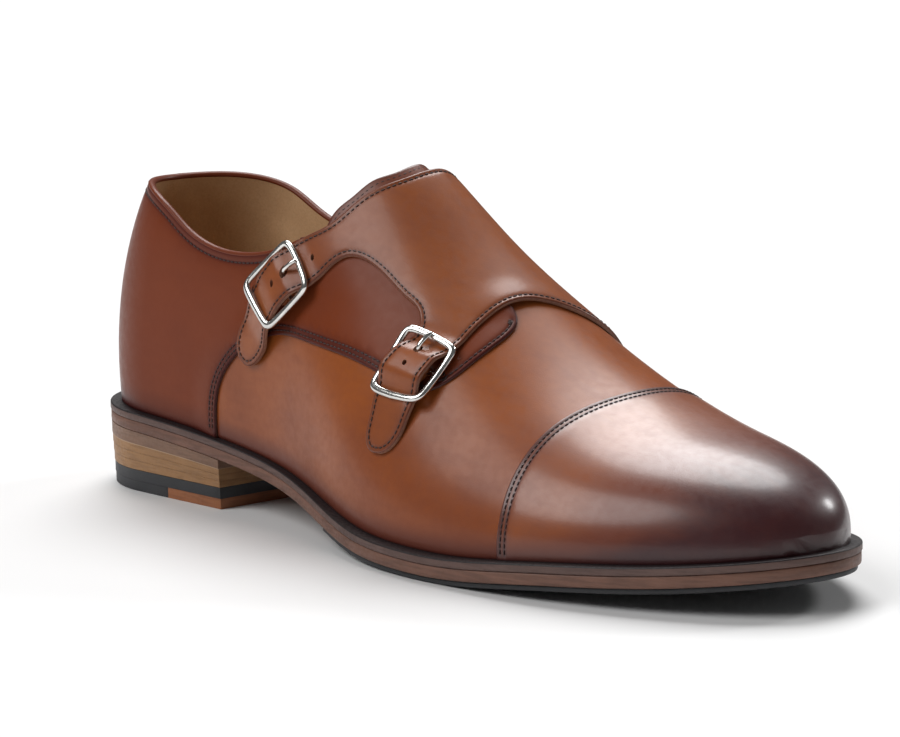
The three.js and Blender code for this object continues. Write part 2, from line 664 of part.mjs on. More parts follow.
// The short tab sewn to the outer quarter that holds the buckle's bar, under the strap.
function buckleTab(place) {
  const rear = -(BAR_WIRE + GAP);
  const corner = (a, b, c) => near(place, mix(rear - TAB_LENGTH, rear, a), mix(-TAB_WIDTH, TAB_WIDTH, b),
    GAP + c * TAB_THICK * mix(TAB_REAR, 1, a));
  return closeUp(
    sheet((a, b) => corner(a, b, 1), TAB_STEPS, TAB_STEPS),
    sheet((a, b) => corner(a, 1 - b, 0), TAB_STEPS, TAB_STEPS),
    sheet((a, c) => corner(a, 0, c), TAB_STEPS, 1),
    sheet((a, c) => corner(a, 1, 1 - c), TAB_STEPS, 1),
    sheet((b, c) => corner(0, 1 - b, c), TAB_STEPS, 1),
    sheet((b, c) => corner(1, b, c), TAB_STEPS, 1),
  );
}

// ---------------------------------------------------------------- materials
const finish = (color, roughness, metalness = 0) => (
  new THREE.MeshStandardMaterial({ color, roughness, metalness }));
const calf = finish(0x8a4526, 0.35);
const capCalf = finish(0x7a3a22, 0.3);
const strapCalf = finish(0x94502c, 0.38);
const tongueCalf = finish(0x7c4630, 0.45);
const tanLining = finish(0xc59a68, 0.7);
const darkEdge = finish(0x3a2a24, 0.5);
const soleLeather = finish(0x6f5442, 0.6);
const stackLeather = finish(0x8c7353, 0.65);
const cornerLeather = finish(0xa4623a, 0.6);
const rubber = finish(0x24262a, 0.8);
const steel = finish(0xc9c7c2, 0.18, 1);

// ---------------------------------------------------------------- the shoe
const shoe = new THREE.Group();

function add(name, geometry, material) {
  const mesh = new THREE.Mesh(geometry, material);
  mesh.name = name;
  shoe.add(mesh);
}

add('outsole', outsole(), soleLeather);
add('forefoot_tread', forefootTread(), rubber);
add('welt', weltRing(), darkEdge);
add('heel_stack', heelStack(), stackLeather);
add('heel_rubber', heelRubber(), rubber);
add('heel_corner', heelCorner(), cornerLeather);
add('insole', insole(), tanLining);
add('upper', upper(), calf);
add('toe_cap', toeCap(), capCalf);
add('tongue', tongue(), tongueCalf);
add('strap_piece', strapPiece(), strapCalf);
seats.forEach((place, i) => {
  add(`${BUCKLES.name[i]}_buckle_frame`, buckleFrame(place), steel);
  add(`${BUCKLES.name[i]}_buckle_prong`, buckleProng(place), steel);
  add(`${BUCKLES.name[i]}_buckle_tab`, buckleTab(place), strapCalf);
});

// The origin is under the middle of the shoe's box.
const box = new THREE.Box3().setFromObject(shoe);
shoe.position.set(-(box.min.x + box.max.x) / 2, -(box.min.y + box.max.y) / 2, 0);

export default shoe;
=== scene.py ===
# A double monk strap shoe for the right foot, men's EU 43, put together from the sole up:
# leather bottom and heel, lasted upper with its lining, instep flap and straps, then the buckles.
import math
import bmesh
import bpy
import numpy as np
from mathutils import Matrix, Vector
from mathutils.geometry import delaunay_2d_cdt
from mathutils.kdtree import KDTree


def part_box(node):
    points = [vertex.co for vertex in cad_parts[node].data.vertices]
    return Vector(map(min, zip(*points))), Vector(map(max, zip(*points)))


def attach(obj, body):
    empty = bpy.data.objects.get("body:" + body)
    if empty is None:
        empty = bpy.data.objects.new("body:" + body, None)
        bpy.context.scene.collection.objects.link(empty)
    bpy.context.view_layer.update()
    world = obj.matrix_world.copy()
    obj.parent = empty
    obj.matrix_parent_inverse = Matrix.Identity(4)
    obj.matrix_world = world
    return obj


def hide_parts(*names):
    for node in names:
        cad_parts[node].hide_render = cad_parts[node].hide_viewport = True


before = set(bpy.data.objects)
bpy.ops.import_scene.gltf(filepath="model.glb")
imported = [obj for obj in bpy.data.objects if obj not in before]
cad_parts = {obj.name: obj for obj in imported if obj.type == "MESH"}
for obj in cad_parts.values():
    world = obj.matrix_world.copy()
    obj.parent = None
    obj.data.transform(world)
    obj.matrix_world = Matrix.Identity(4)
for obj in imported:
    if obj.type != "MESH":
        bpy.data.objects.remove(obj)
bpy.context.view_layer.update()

# ---------------------------------------------------------------- the last
# The wooden form that every piece of leather is pulled over. Its sections run from the heel to
# the toe in millimetres: half widths at the feather edge, the ridge's height and sideways place,
# the fullness of side and crown, and the bulge of the wall.
LAST = {
    "x":     [0, 40, 80, 110, 135, 160, 185, 205, 230, 265, 299],
    "outer": [30, 30.5, 30.5, 33, 40.5, 48.5, 51.5, 50.5, 49, 47, 46],
    "inner": [30, 30.5, 29, 27.5, 29.5, 35.5, 42.5, 45.5, 46.5, 45, 42],
    "ridge": [128, 129, 129, 125, 111, 91, 73.5, 61, 48.8, 41, 38.5],
    "lean":  [0, 0, 0.5, 2, 4, 5.5, 6.5, 7, 7, 6, 5],
    "side":  [0.80, 0.78, 0.70, 0.56, 0.42, 0.40, 0.46, 0.52, 0.58, 0.60, 0.60],
    "crown": [0.85, 0.80, 0.72, 0.62, 0.56, 0.54, 0.56, 0.58, 0.62, 0.66, 0.66],
    "flare": [3, 3, 3.5, 5, 6, 5, 4, 3, 3, 3, 3],
}
# How high the feather edge lies, and how far the edge of the sole stands out past the last.
SEAT = {
    "x":      [0, 40, 80, 110, 140, 165, 185, 200, 230, 265, 302],
    "height": [27.4, 25.8, 22, 17.6, 12.3, 9.1, 8.3, 8.3, 10.8, 13.5, 17.8],
}
REACH = {
    "x":     [0, 60, 100, 140, 175, 220, 302],
    "outer": [3.2, 3, 2.6, 3.6, 4.8, 5, 5],
    "inner": [3.2, 3, 2.2, 2.4, 3.6, 4.4, 2.8],
}
SOLE_LENGTH = 302
LAST_BACK, LAST_TIP = 3, 297
HEEL_ROUND, TOE_ROUND, TOE_FULLNESS = 34, 96, 2.05
TOE_BOX, TOE_BOX_FULLNESS = 46, 2.5
TOE_SWING, SWING_START = 2.5, 200
BACK_CURVE, BACK_CURVE_HEIGHT, BACK_CURVE_REACH = 0.85, 14, 110
MM = 0.001


def batten(xs, ys):
    """A thin wooden strip bent through the stations: a natural cubic spline."""
    xs, ys = np.array(xs, float), np.array(ys, float)
    gap = np.diff(xs)
    slope = np.diff(ys) / gap
    system = np.eye(len(xs))
    load = np.zeros(len(xs))
    for i in range(1, len(xs) - 1):
        system[i, i - 1:i + 2] = gap[i - 1], 2 * (gap[i - 1] + gap[i]), gap[i]
        load[i] = 6 * (slope[i] - slope[i - 1])
    bend = np.linalg.solve(system, load)

    def at(x):
        x = np.clip(x, xs[0], xs[-1])
        i = np.clip(np.searchsorted(xs, x, side="right") - 1, 0, len(xs) - 2)
        a = (xs[i + 1] - x) / gap[i]
        b = 1 - a
        sag = ((a**3 - a) * bend[i] + (b**3 - b) * bend[i + 1]) * gap[i]**2 / 6
        return a * ys[i] + b * ys[i + 1] + sag
    return at


def battens(table):
    return {name: batten(table["x"], column) for name, column in table.items() if name != "x"}


last, seat, reach = battens(LAST), battens(SEAT)["height"], battens(REACH)


def ease(t):
    t = np.clip(t, 0, 1)
    return t * t * (3 - 2 * t)


def mix(a, b, t):
    return a + (b - a) * t


def heel_round(x, back):
    t = np.clip(1 - (x - back) / HEEL_ROUND, 0, 1)
    return np.sqrt(np.clip(1 - t * t, 0, 1))


def toe_round(x, tip, length, fullness):
    t = np.clip(1 - (tip - x) / length, 0, 1)
    return np.clip(1 - t**fullness, 0, 1)**(1 / fullness)


def swing(x):
    return TOE_SWING * ease((x - SWING_START) / (LAST_TIP - SWING_START))


def length_at(u):
    return mix(LAST_BACK, LAST_TIP, (1 - np.cos(np.pi * u)) / 2)


def u_at(x):
    share = (np.asarray(x, float) - LAST_BACK) / (LAST_TIP - LAST_BACK)
    return np.arccos(1 - 2 * np.clip(share, 0, 1)) / np.pi


def last_point(u, v):
    """u runs heel to toe, v from the outer feather edge over the ridge (0.5) to the inner one."""
    x = length_at(u)
    box = toe_round(x, LAST_TIP, TOE_BOX, TOE_BOX_FULLNESS)
    rounding = heel_round(x, LAST_BACK) * toe_round(x, LAST_TIP, TOE_ROUND, TOE_FULLNESS)
    outside = v < 0.5
    sign = np.where(outside, -1.0, 1.0)
    width = np.where(outside, last["outer"](x), last["inner"](x)) * rounding
    flare = last["flare"](x) * rounding
    foot = seat(x)
    height = (last["ridge"](x) - foot) * box
    lean = mix(swing(x), last["lean"](x), box)
    t = np.where(outside, 2 * v, 2 - 2 * v)
    s = 1 - t
    b0, b1, b2, b3 = s**3, 3 * s * s * t, 3 * s * t * t, t**3
    y = (b0 * (sign * width + swing(x)) + b1 * (sign * (width + flare) + swing(x))
         + b2 * (lean + sign * last["crown"](x) * width) + b3 * lean)
    rise = height * (b1 * last["side"](x) + b2 + b3)
    belly = BACK_CURVE * ((rise / BACK_CURVE_HEIGHT - 1)**2 - 1)
    fade = ease(1 - (x - LAST_BACK) / BACK_CURVE_REACH)
    return np.stack([x + belly * fade, y, foot + rise], -1)


def last_normal(u, v):
    step = 0.002
    v = np.where(u < 0.0005, np.minimum(v, 1 - v), v)
    at_u = np.clip(u, step, 1 - step)
    along = last_point(at_u + step, v) - last_point(at_u - step, v)
    around = last_point(at_u, np.minimum(v + step, 1)) - last_point(at_u, np.maximum(v - step, 0))
    normal = np.cross(along, around)
    normal[..., 1] = np.where(u < 0.0005, 0, normal[..., 1])
    normal /= np.linalg.norm(normal, axis=-1, keepdims=True)
    return np.where((u > 0.9995)[..., None], np.array([1.0, 0, 0]), normal)


# Patterns are drawn flat in about real millimetres: p along the foot and q round it.
PATTERN_LONG, PATTERN_ROUND = 440, 190


def skin(pattern, offset):
    """Pattern points bent over the last grown by an offset, in the last's millimetres."""
    u = np.clip(pattern[..., 0] / PATTERN_LONG, 0, 1)
    v = np.clip(pattern[..., 1] / PATTERN_ROUND, 0, 1)
    point = last_point(u, v) + last_normal(u, v) * np.asarray(offset, float)[..., None]
    point[..., 2] = np.maximum(point[..., 2], seat(point[..., 0]))
    return point


# The last's own zero is at the sole's heel edge, the frame's is under the middle of the shoe.
welt_low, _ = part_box("welt")
edge_x = np.linspace(0, SOLE_LENGTH, 400)
widest_outer = np.max((last["outer"](mix(LAST_BACK, LAST_TIP, edge_x / SOLE_LENGTH)) + reach["outer"](edge_x))
                      * heel_round(edge_x, 0) * toe_round(edge_x, SOLE_LENGTH, TOE_ROUND, TOE_FULLNESS))
ORIGIN = np.array([welt_low.x / MM, welt_low.y / MM + widest_outer, 0.0])


def to_frame(points):
    return (np.asarray(points, float) + ORIGIN) * MM


# ---------------------------------------------------------------- outsole and forefoot tread
# The outsole is one piece of stained sole leather from heel to toe, its edge trimmed square and
# burnished. A thin black rubber tread is glued under the forefoot and cut square at its rear.
OUTSOLE_THICK, OUTSOLE_INSET = 3.3, 0.2
TREAD_THICK, TREAD_START, TREAD_INSET = 1.7, 138, 1.2
WELT_THICK, GAP = 2.5, 0.05
SHEET_GAP = 0.3
ROUND_STEPS = 240
MIDDLE_REAR, MIDDLE_FRONT = 32, 247     # the middle line of a layer, and how far it bends sideways
MIDDLE_BEND_AT, MIDDLE_BEND = 130, -5


def welt_top(x):
    return seat(x) - SHEET_GAP


def outsole_top(x):
    return welt_top(x) - WELT_THICK - GAP


def outsole_bottom(x):
    return outsole_top(x) - OUTSOLE_THICK - SHEET_GAP + GAP


def tread_top(x):
    return outsole_bottom(x) - GAP


def sole_edge(x, side, inset):
    foot = mix(LAST_BACK, LAST_TIP, x / SOLE_LENGTH)
    rounding = heel_round(x, 0) * toe_round(x, SOLE_LENGTH, TOE_ROUND, TOE_FULLNESS)
    outer = last["outer"](foot) + reach["outer"](x)
    inner = last["inner"](foot) + reach["inner"](x)
    half = np.where(side < 0, outer, inner) - inset
    along = mix(inset, SOLE_LENGTH - inset, x / SOLE_LENGTH)
    return np.stack([along, side * half * rounding + swing(foot)], -1)


def finish_mesh(name, bm, materials, sharp=50):
    """A bmesh in millimetres of the last becomes a piece of the shoe, smooth up to an angle."""
    for edge in bm.edges:
        edge.smooth = len(edge.link_faces) < 2 or edge.calc_face_angle(0) < math.radians(sharp)
    for face in bm.faces:
        face.smooth = True
    mesh = bpy.data.meshes.new(name)
    bm.to_mesh(mesh)
    bm.free()
    for material in materials:
        mesh.materials.append(material)
    piece = bpy.data.objects.new(name, mesh)
    bpy.context.scene.collection.objects.link(piece)
    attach(piece, "root")
    return piece


def place_vertices(bm, place):
    """Moves every vertex to place(its coordinates), worked out for all of them at once."""
    points = place(np.array([vertex.co for vertex in bm.verts]))
    for vertex, point in zip(bm.verts, points):
        vertex.co = point


def layer(bottom, top, inset, taper=0.0, soft=0.45, hollow=None):
    """A layer of the bottom, turned up from rings that follow the sole's edge. The rings run
    from the middle of the underside, round the edge and back to the middle of the top."""
    profile = [(soft, 0), (0.3 * soft, 0.3), (0, 1), (0, 2), (0.3 * soft, 2.7), (soft, 3)]
    reach_in = [None, 0.25, 0.6] if hollow is None else [hollow]
    rings = [("in", r, 0) for r in reach_in] + [("edge", *ring) for ring in profile]
    rings += [("in", r, 3) for r in reversed(reach_in)]
    steps = len(rings) - 1 + (hollow is not None)
    bm = bmesh.new()
    bmesh.ops.create_grid(bm, x_segments=ROUND_STEPS, y_segments=steps, size=0.5)

    def place(flat):
        turn = flat[:, 0] + 0.5
        row = np.rint((flat[:, 1] + 0.5) * steps).astype(int) % len(rings)
        side = np.where(turn < 0.5, -1.0, 1.0)
        x = SOLE_LENGTH * (1 - np.cos(2 * np.pi * turn)) / 2
        middle_x = mix(MIDDLE_REAR, MIDDLE_FRONT, x / SOLE_LENGTH)
        bend = np.interp(middle_x, [MIDDLE_REAR, MIDDLE_BEND_AT, MIDDLE_FRONT], [0, MIDDLE_BEND, 0])
        middle = np.stack([middle_x, swing(middle_x) + bend], -1)
        flat_xy = np.zeros((len(flat), 2))
        level = np.zeros(len(flat))
        for i, (kind, amount, height) in enumerate(rings):
            here = row == i
            if kind == "edge":
                lean = taper * (1 - height / 3)
                edge = sole_edge(x[here], side[here], inset + amount + lean)
            elif hollow is not None:
                edge = sole_edge(x[here], side[here], amount)
            else:
                rim = sole_edge(x[here], side[here], inset + soft + taper * (1 - height / 3))
                edge = mix(middle[here], rim, amount or 0.0)
            flat_xy[here] = edge
            level[here] = {0: 0, 0.3: 0.3 * soft, 1: soft, 2: -soft, 2.7: -0.3 * soft, 3: 0}[height]
        low, high = bottom(flat_xy[:, 0]), top(flat_xy[:, 0])
        upper_half = np.isin(row, [i for i, ring in enumerate(rings) if ring[2] >= 2])
        z = np.where(upper_half, high + level, low + level)
        return to_frame(np.concatenate([flat_xy, z[:, None]], -1))
    place_vertices(bm, place)
    bmesh.ops.remove_doubles(bm, verts=bm.verts, dist=1e-6)
    bmesh.ops.dissolve_degenerate(bm, edges=bm.edges, dist=1e-7)
    bmesh.ops.recalc_face_normals(bm, faces=bm.faces)
    return bm


def break_edge(bm, rim, soft):
    """Rounds edges off by so many millimetres."""
    bmesh.ops.bevel(bm, geom=rim, offset=soft * MM, offset_type="OFFSET", affect="EDGES", segments=2,
                    profile=0.5, material=-1, clamp_overlap=True)


def cut_square(bm, x, keep, soft=0.4):
    """Cuts a layer square across at x, keeping the heel side or the toe side, and breaks the edge."""
    at = Vector(to_frame([[x, 0, 0]])[0])
    way = (1, 0, 0) if keep == "heel" else (-1, 0, 0)
    everything = bm.verts[:] + bm.edges[:] + bm.faces[:]
    cut = bmesh.ops.bisect_plane(bm, geom=everything, plane_co=at, plane_no=way, clear_outer=True)
    rim = [item for item in cut["geom_cut"] if isinstance(item, bmesh.types.BMEdge)]
    bmesh.ops.edgeloop_fill(bm, edges=rim)
    break_edge(bm, rim, soft)
    bmesh.ops.recalc_face_normals(bm, faces=bm.faces)


def new_material(name):
    material = bpy.data.materials.new(name)
    material.use_nodes = True
    tree = material.node_tree
    return material, tree, tree.nodes["Principled BSDF"]


def add_node(tree, kind, inputs=(), **settings):
    node = tree.nodes.new(kind)
    for key, value in settings.items():
        setattr(node, key, value)
    for socket, value in dict(inputs).items():
        if isinstance(value, bpy.types.NodeSocket):
            tree.links.new(value, node.inputs[socket])
        else:
            node.inputs[socket].default_value = value
    return node


def blend_colour(tree, share, first, second):
    """Mixes two colours; share, first and second are sockets or plain values."""
    return add_node(tree, "ShaderNodeMix", {0: share, 6: first, 7: second}, data_type="RGBA").outputs[2]


def spread(tree, value, low, high, to_low=0.0, to_high=1.0):
    """Stretches a value from one range to another, eased and held at both ends."""
    node = add_node(tree, "ShaderNodeMapRange", {0: value, 1: low, 2: high, 3: to_low, 4: to_high},
                    interpolation_type="SMOOTHSTEP")
    return node.outputs[0]


def arithmetic(tree, how, first, second):
    return add_node(tree, "ShaderNodeMath", {0: first, 1: second}, operation=how).outputs[0]


def group_shell(name, inputs, outputs):
    """An empty node group with named inputs (with their defaults) and outputs."""
    group = bpy.data.node_groups.new(name, "ShaderNodeTree")
    for label, default in inputs.items():
        kind = "NodeSocketColor" if isinstance(default, tuple) else "NodeSocketFloat"
        socket = group.interface.new_socket(label, in_out="INPUT", socket_type=kind)
        socket.default_value = default
    for label, kind in outputs.items():
        group.interface.new_socket(label, in_out="OUTPUT", socket_type=kind)
    into = group.nodes.new("NodeGroupInput")
    out = group.nodes.new("NodeGroupOutput")
    return group, into.outputs, out.inputs


def noise(tree, vector, scale, detail):
    """A cloudy pattern over a surface."""
    settings = {"Vector": vector, "Scale": scale, "Detail": detail}
    return add_node(tree, "ShaderNodeTexNoise", settings).outputs[0]


def layered_edge():
    """Sole leather seen from its edge: fine level streaks, cloudy stain and a faint grain."""
    group, given, result = group_shell(
        "layered_edge",
        {"Base": (0.2, 0.1, 0.06, 1), "Streak": (0.08, 0.04, 0.02, 1), "Streaks": 0.6, "Scale": 1.0},
        {"Color": "NodeSocketColor", "Roughness": "NodeSocketFloat", "Height": "NodeSocketFloat"})
    place = add_node(group, "ShaderNodeTexCoord").outputs["Object"]
    level = add_node(group, "ShaderNodeMapping", {"Vector": place, "Scale": (110, 110, 1100)}).outputs[0]
    fine = noise(group, level, given["Scale"], 4.0)
    cloud = noise(group, place, 60.0, 3.0)
    speck = noise(group, place, 900.0, 2.0)
    lines = arithmetic(group, "MULTIPLY", spread(group, fine, 0.42, 0.66), given["Streaks"])
    colour = blend_colour(group, lines, given["Base"], given["Streak"])
    colour = blend_colour(group, spread(group, cloud, 0.35, 0.75, 0.0, 0.35), colour, given["Streak"])
    group.links.new(colour, result["Color"])
    group.links.new(spread(group, speck, 0.3, 0.7, 0.45, 0.65), result["Roughness"])
    height = arithmetic(group, "ADD", fine, arithmetic(group, "MULTIPLY", speck, 0.4))
    group.links.new(height, result["Height"])
    return group


LAYERED_EDGE = layered_edge()


def edge_leather(name, base, streak, streaks=0.6, scale=1.0, bump=0.12):
    material, tree, shader = new_material(name)
    edge = add_node(tree, "ShaderNodeGroup", node_tree=LAYERED_EDGE)
    edge.inputs["Base"].default_value = (*base, 1)
    edge.inputs["Streak"].default_value = (*streak, 1)
    edge.inputs["Streaks"].default_value = streaks
    edge.inputs["Scale"].default_value = scale
    tree.links.new(edge.outputs["Color"], shader.inputs["Base Color"])
    tree.links.new(edge.outputs["Roughness"], shader.inputs["Roughness"])
    rough = add_node(tree, "ShaderNodeBump", {"Height": edge.outputs["Height"], "Strength": bump,
                                              "Distance": 0.0003})
    tree.links.new(rough.outputs[0], shader.inputs["Normal"])
    shader.inputs["Specular IOR Level"].default_value = 0.35
    shader.inputs["Coat Weight"].default_value = 0.06
    shader.inputs["Coat Roughness"].default_value = 0.3
    return material


def black_rubber():
    material, tree, shader = new_material("black_rubber")
    place = add_node(tree, "ShaderNodeTexCoord").outputs["Object"]
    cloud = noise(tree, place, 90.0, 3.0)
    grit = noise(tree, place, 2600.0, 2.0)
    black, dusty = (0.02, 0.021, 0.024, 1), (0.036, 0.037, 0.041, 1)
    colour = blend_colour(tree, spread(tree, cloud, 0.3, 0.7), black, dusty)
    tree.links.new(colour, shader.inputs["Base Color"])
    tree.links.new(spread(tree, cloud, 0.3, 0.7, 0.5, 0.66), shader.inputs["Roughness"])
    bump = add_node(tree, "ShaderNodeBump", {"Height": grit, "Strength": 0.25, "Distance": 0.0002})
    tree.links.new(bump.outputs[0], shader.inputs["Normal"])
    return material


RUBBER = black_rubber()
SOLE_LEATHER = edge_leather("stained_sole_leather", (0.185, 0.090, 0.062), (0.085, 0.042, 0.031), 0.5)

outsole = finish_mesh("sole_leather", layer(outsole_bottom, outsole_top, OUTSOLE_INSET), [SOLE_LEATHER])
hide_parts("outsole")

tread_mesh = layer(lambda x: np.maximum(tread_top(x) - TREAD_THICK + GAP, 0), tread_top, TREAD_INSET,
                   soft=0.35)
cut_square(tread_mesh, TREAD_START, "toe", 0.3)
tread = finish_mesh("rubber_tread", tread_mesh, [RUBBER])
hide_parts("forefoot_tread")

# ---------------------------------------------------------------- welt
# A strip of leather sewn round the feather edge. Its top, dyed almost black and painted darker still with the
# shade of the upper above it, shows as a narrow shelf round the upper, and its outer edge is taupe where the
# wheel has polished it.
WELT_WIDTH = 12
WELT_EDGE = edge_leather("welt_edge_leather", (0.125, 0.074, 0.062), (0.065, 0.038, 0.033), 0.5, 1.0, 0.08)
WELT_TOP_DYED_AND_SHADED = edge_leather("welt_top_dye_and_painted_shade", (0.014, 0.008, 0.009), (0.008, 0.005, 0.006), 0.4, 1.0, 0.08)
welt_mesh = layer(lambda x: welt_top(x) - WELT_THICK, welt_top, 0, soft=0.4, hollow=WELT_WIDTH)
# Faces that look up get the dark top, dye and painted shade together; the others get the polished edge.
for face in welt_mesh.faces:
    face.material_index = 1 if face.normal.z > 0.35 else 0
welt = finish_mesh("welt_strip", welt_mesh, [WELT_EDGE, WELT_TOP_DYED_AND_SHADED])
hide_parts("welt")

# ---------------------------------------------------------------- heel
# Leather lifts built up under the seat, stained taupe above and left paler below, a black rubber
# lift, and a lowest layer that is rubber behind and orange tan leather at the front corner.
HEEL_BREAST, HEEL_TAPER = 76, 1.2
LIFT_TOP, TOP_PIECE, CORNER_START = 7.0, 3.4, 50
HEEL_HIGH = float(tread_top(np.array(0.0)))
LIFT_SHARES = [0.0, 0.24, 0.46, 0.68, 1.0]
RAND_BELOW, RAND_ABOVE = 0.022, 0.012
SEAT_LIFT = edge_leather("heel_seat_leather", (0.215, 0.120, 0.078), (0.13, 0.072, 0.048), 0.5, 1.3)
STACK_LEATHER = edge_leather("heel_stack_leather", (0.33, 0.175, 0.075), (0.20, 0.102, 0.044), 0.5, 1.3)
PALE_LINE = edge_leather("pale_rand", (0.40, 0.27, 0.17), (0.25, 0.15, 0.09), 0.4)
CORNER_LEATHER = edge_leather("corner_leather", (0.32, 0.12, 0.050), (0.18, 0.065, 0.03), 0.5)


def heel_inset(z):
    return OUTSOLE_INSET + HEEL_TAPER * (1 - z / HEEL_HIGH)


def heel_layer(name, bottom, top, low, high, material, ends=(None, HEEL_BREAST), soft=0.12):
    bm = layer(bottom, top, heel_inset(high), heel_inset(low) - heel_inset(high), soft)
    if ends[0] is not None:
        cut_square(bm, ends[0], "toe", 0.08)
    cut_square(bm, ends[1], "heel", 0.1)
    return finish_mesh(name, bm, [material], 35)


def flat_level(z):
    return lambda x: z + 0 * x


def lift_level(share):
    return lambda x: mix(LIFT_TOP + GAP, tread_top(x), share)


for number, (low, high) in enumerate(zip(LIFT_SHARES[:-1], LIFT_SHARES[1:]), 1):
    levels = [mix(LIFT_TOP, HEEL_HIGH, share) for share in (low, high)]
    lift = heel_layer(f"heel_lift_{number}", lift_level(low), lift_level(high), *levels,
                      SEAT_LIFT if high == 1 else STACK_LEATHER)
    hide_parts("heel_stack")

rand_at = LIFT_SHARES[-2]
rand_height = mix(LIFT_TOP, HEEL_HIGH, rand_at)
rand = heel_layer("heel_pale_line", lift_level(rand_at - RAND_BELOW), lift_level(rand_at + RAND_ABOVE),
                  rand_height, rand_height, PALE_LINE, soft=0.05)
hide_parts("heel_stack")

rubber_lift = heel_layer("heel_rubber_lift", flat_level(TOP_PIECE), flat_level(LIFT_TOP), TOP_PIECE, LIFT_TOP,
                         RUBBER)
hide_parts("heel_rubber")
rubber_rear = heel_layer("heel_rubber_rear", flat_level(0), flat_level(TOP_PIECE), 0, TOP_PIECE, RUBBER,
                         (None, CORNER_START))
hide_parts("heel_rubber")
corner = heel_layer("heel_corner_piece", flat_level(0), flat_level(TOP_PIECE), 0, TOP_PIECE, CORNER_LEATHER,
                    (CORNER_START, HEEL_BREAST))
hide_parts("heel_corner")

# ---------------------------------------------------------------- burnished calf
# Cognac calf, waxed and brushed: clouds of redder brown, a plum dark toe and heel, darker edges
# and a soft gloss over fine pores. Each piece carries a darkness for every place, worked out as it is made.
def burnished_calf():
    group, given, result = group_shell(
        "burnished_calf",
        {"Tan": (0.30, 0.076, 0.015, 1), "Red": (0.150, 0.031, 0.011, 1), "Plum": (0.046, 0.010, 0.012, 1),
         "Clouds": 0.5, "Wear": 1.0},
        {"Color": "NodeSocketColor", "Roughness": "NodeSocketFloat", "Height": "NodeSocketFloat"})
    place = add_node(group, "ShaderNodeTexCoord").outputs["Object"]
    shade = add_node(group, "ShaderNodeAttribute", attribute_name="shade").outputs["Fac"]
    rim = add_node(group, "ShaderNodeAttribute", attribute_name="rim").outputs["Fac"]
    cloud = noise(group, place, 24.0, 3.0)
    brush = add_node(group, "ShaderNodeMapping", {"Vector": place, "Rotation": (0.4, 0.5, 0.2),
                                                  "Scale": (60, 260, 260)}).outputs[0]
    stroke = noise(group, brush, 1.0, 3.0)
    mottle = noise(group, place, 420.0, 3.0)
    pores = add_node(group, "ShaderNodeTexVoronoi", {"Vector": place, "Scale": 2300.0}).outputs["Distance"]
    fine = noise(group, place, 3200.0, 2.0)
    cloudy = arithmetic(group, "MULTIPLY", spread(group, cloud, 0.36, 0.70), given["Clouds"])
    colour = blend_colour(group, cloudy, given["Tan"], given["Red"])
    colour = blend_colour(group, spread(group, stroke, 0.40, 0.80, 0.0, 0.22), colour, given["Red"])
    colour = blend_colour(group, spread(group, mottle, 0.30, 0.75, 0.0, 0.16), colour, given["Red"])
    warm = arithmetic(group, "MULTIPLY", shade, 2.0)
    colour = blend_colour(group, spread(group, warm, 0.0, 1.0), colour, given["Red"])
    ragged = arithmetic(group, "ADD", shade, spread(group, stroke, 0.30, 0.75, -0.05, 0.05))
    colour = blend_colour(group, spread(group, ragged, 0.42, 1.05), colour, given["Plum"])
    worn = arithmetic(group, "MULTIPLY", rim, given["Wear"])
    colour = blend_colour(group, worn, colour, given["Plum"])
    group.links.new(colour, result["Color"])
    rough = arithmetic(group, "ADD", spread(group, cloud, 0.3, 0.7, 0.30, 0.37),
                       spread(group, mottle, 0.3, 0.7, 0.0, 0.08))
    group.links.new(rough, result["Roughness"])
    height = arithmetic(group, "ADD", arithmetic(group, "MULTIPLY", pores, 0.55), fine)
    height = arithmetic(group, "ADD", height, arithmetic(group, "MULTIPLY", mottle, 0.8))
    group.links.new(height, result["Height"])
    return group


BURNISHED_CALF = burnished_calf()
PORE_BUMP = 0.10


def calf(name, tan=None, clouds=0.5, gloss=0.28, coat=0.16):
    material, tree, shader = new_material(name)
    leather = add_node(tree, "ShaderNodeGroup", node_tree=BURNISHED_CALF)
    leather.inputs["Clouds"].default_value = clouds
    if tan:
        leather.inputs["Tan"].default_value = (*tan, 1)
    tree.links.new(leather.outputs["Color"], shader.inputs["Base Color"])
    tree.links.new(leather.outputs["Roughness"], shader.inputs["Roughness"])
    bumps = add_node(tree, "ShaderNodeBump", {"Height": leather.outputs["Height"], "Strength": PORE_BUMP,
                                              "Distance": 0.0002})
    tree.links.new(bumps.outputs[0], shader.inputs["Normal"])
    shader.inputs["Coat Weight"].default_value = coat
    shader.inputs["Coat Roughness"].default_value = 0.20
    shader.inputs["Specular IOR Level"].default_value = gloss
    return material


def plain_leather(name, base, dark, roughness=0.6, bump=0.15):
    """Undyed or edge leather: a base tone with darker fibres and specks."""
    material, tree, shader = new_material(name)
    place = add_node(tree, "ShaderNodeTexCoord").outputs["Object"]
    cloud = noise(tree, place, 70.0, 4.0)
    fibre = noise(tree, place, 1400.0, 3.0)
    colour = blend_colour(tree, spread(tree, cloud, 0.32, 0.72, 0.0, 0.5), (*base, 1), (*dark, 1))
    colour = blend_colour(tree, spread(tree, fibre, 0.35, 0.75, 0.0, 0.45), colour, (*dark, 1))
    tree.links.new(colour, shader.inputs["Base Color"])
    rough = spread(tree, fibre, 0.3, 0.7, roughness - 0.06, roughness + 0.08)
    tree.links.new(rough, shader.inputs["Roughness"])
    bumps = add_node(tree, "ShaderNodeBump", {"Height": fibre, "Strength": bump, "Distance": 0.0002})
    tree.links.new(bumps.outputs[0], shader.inputs["Normal"])
    return material


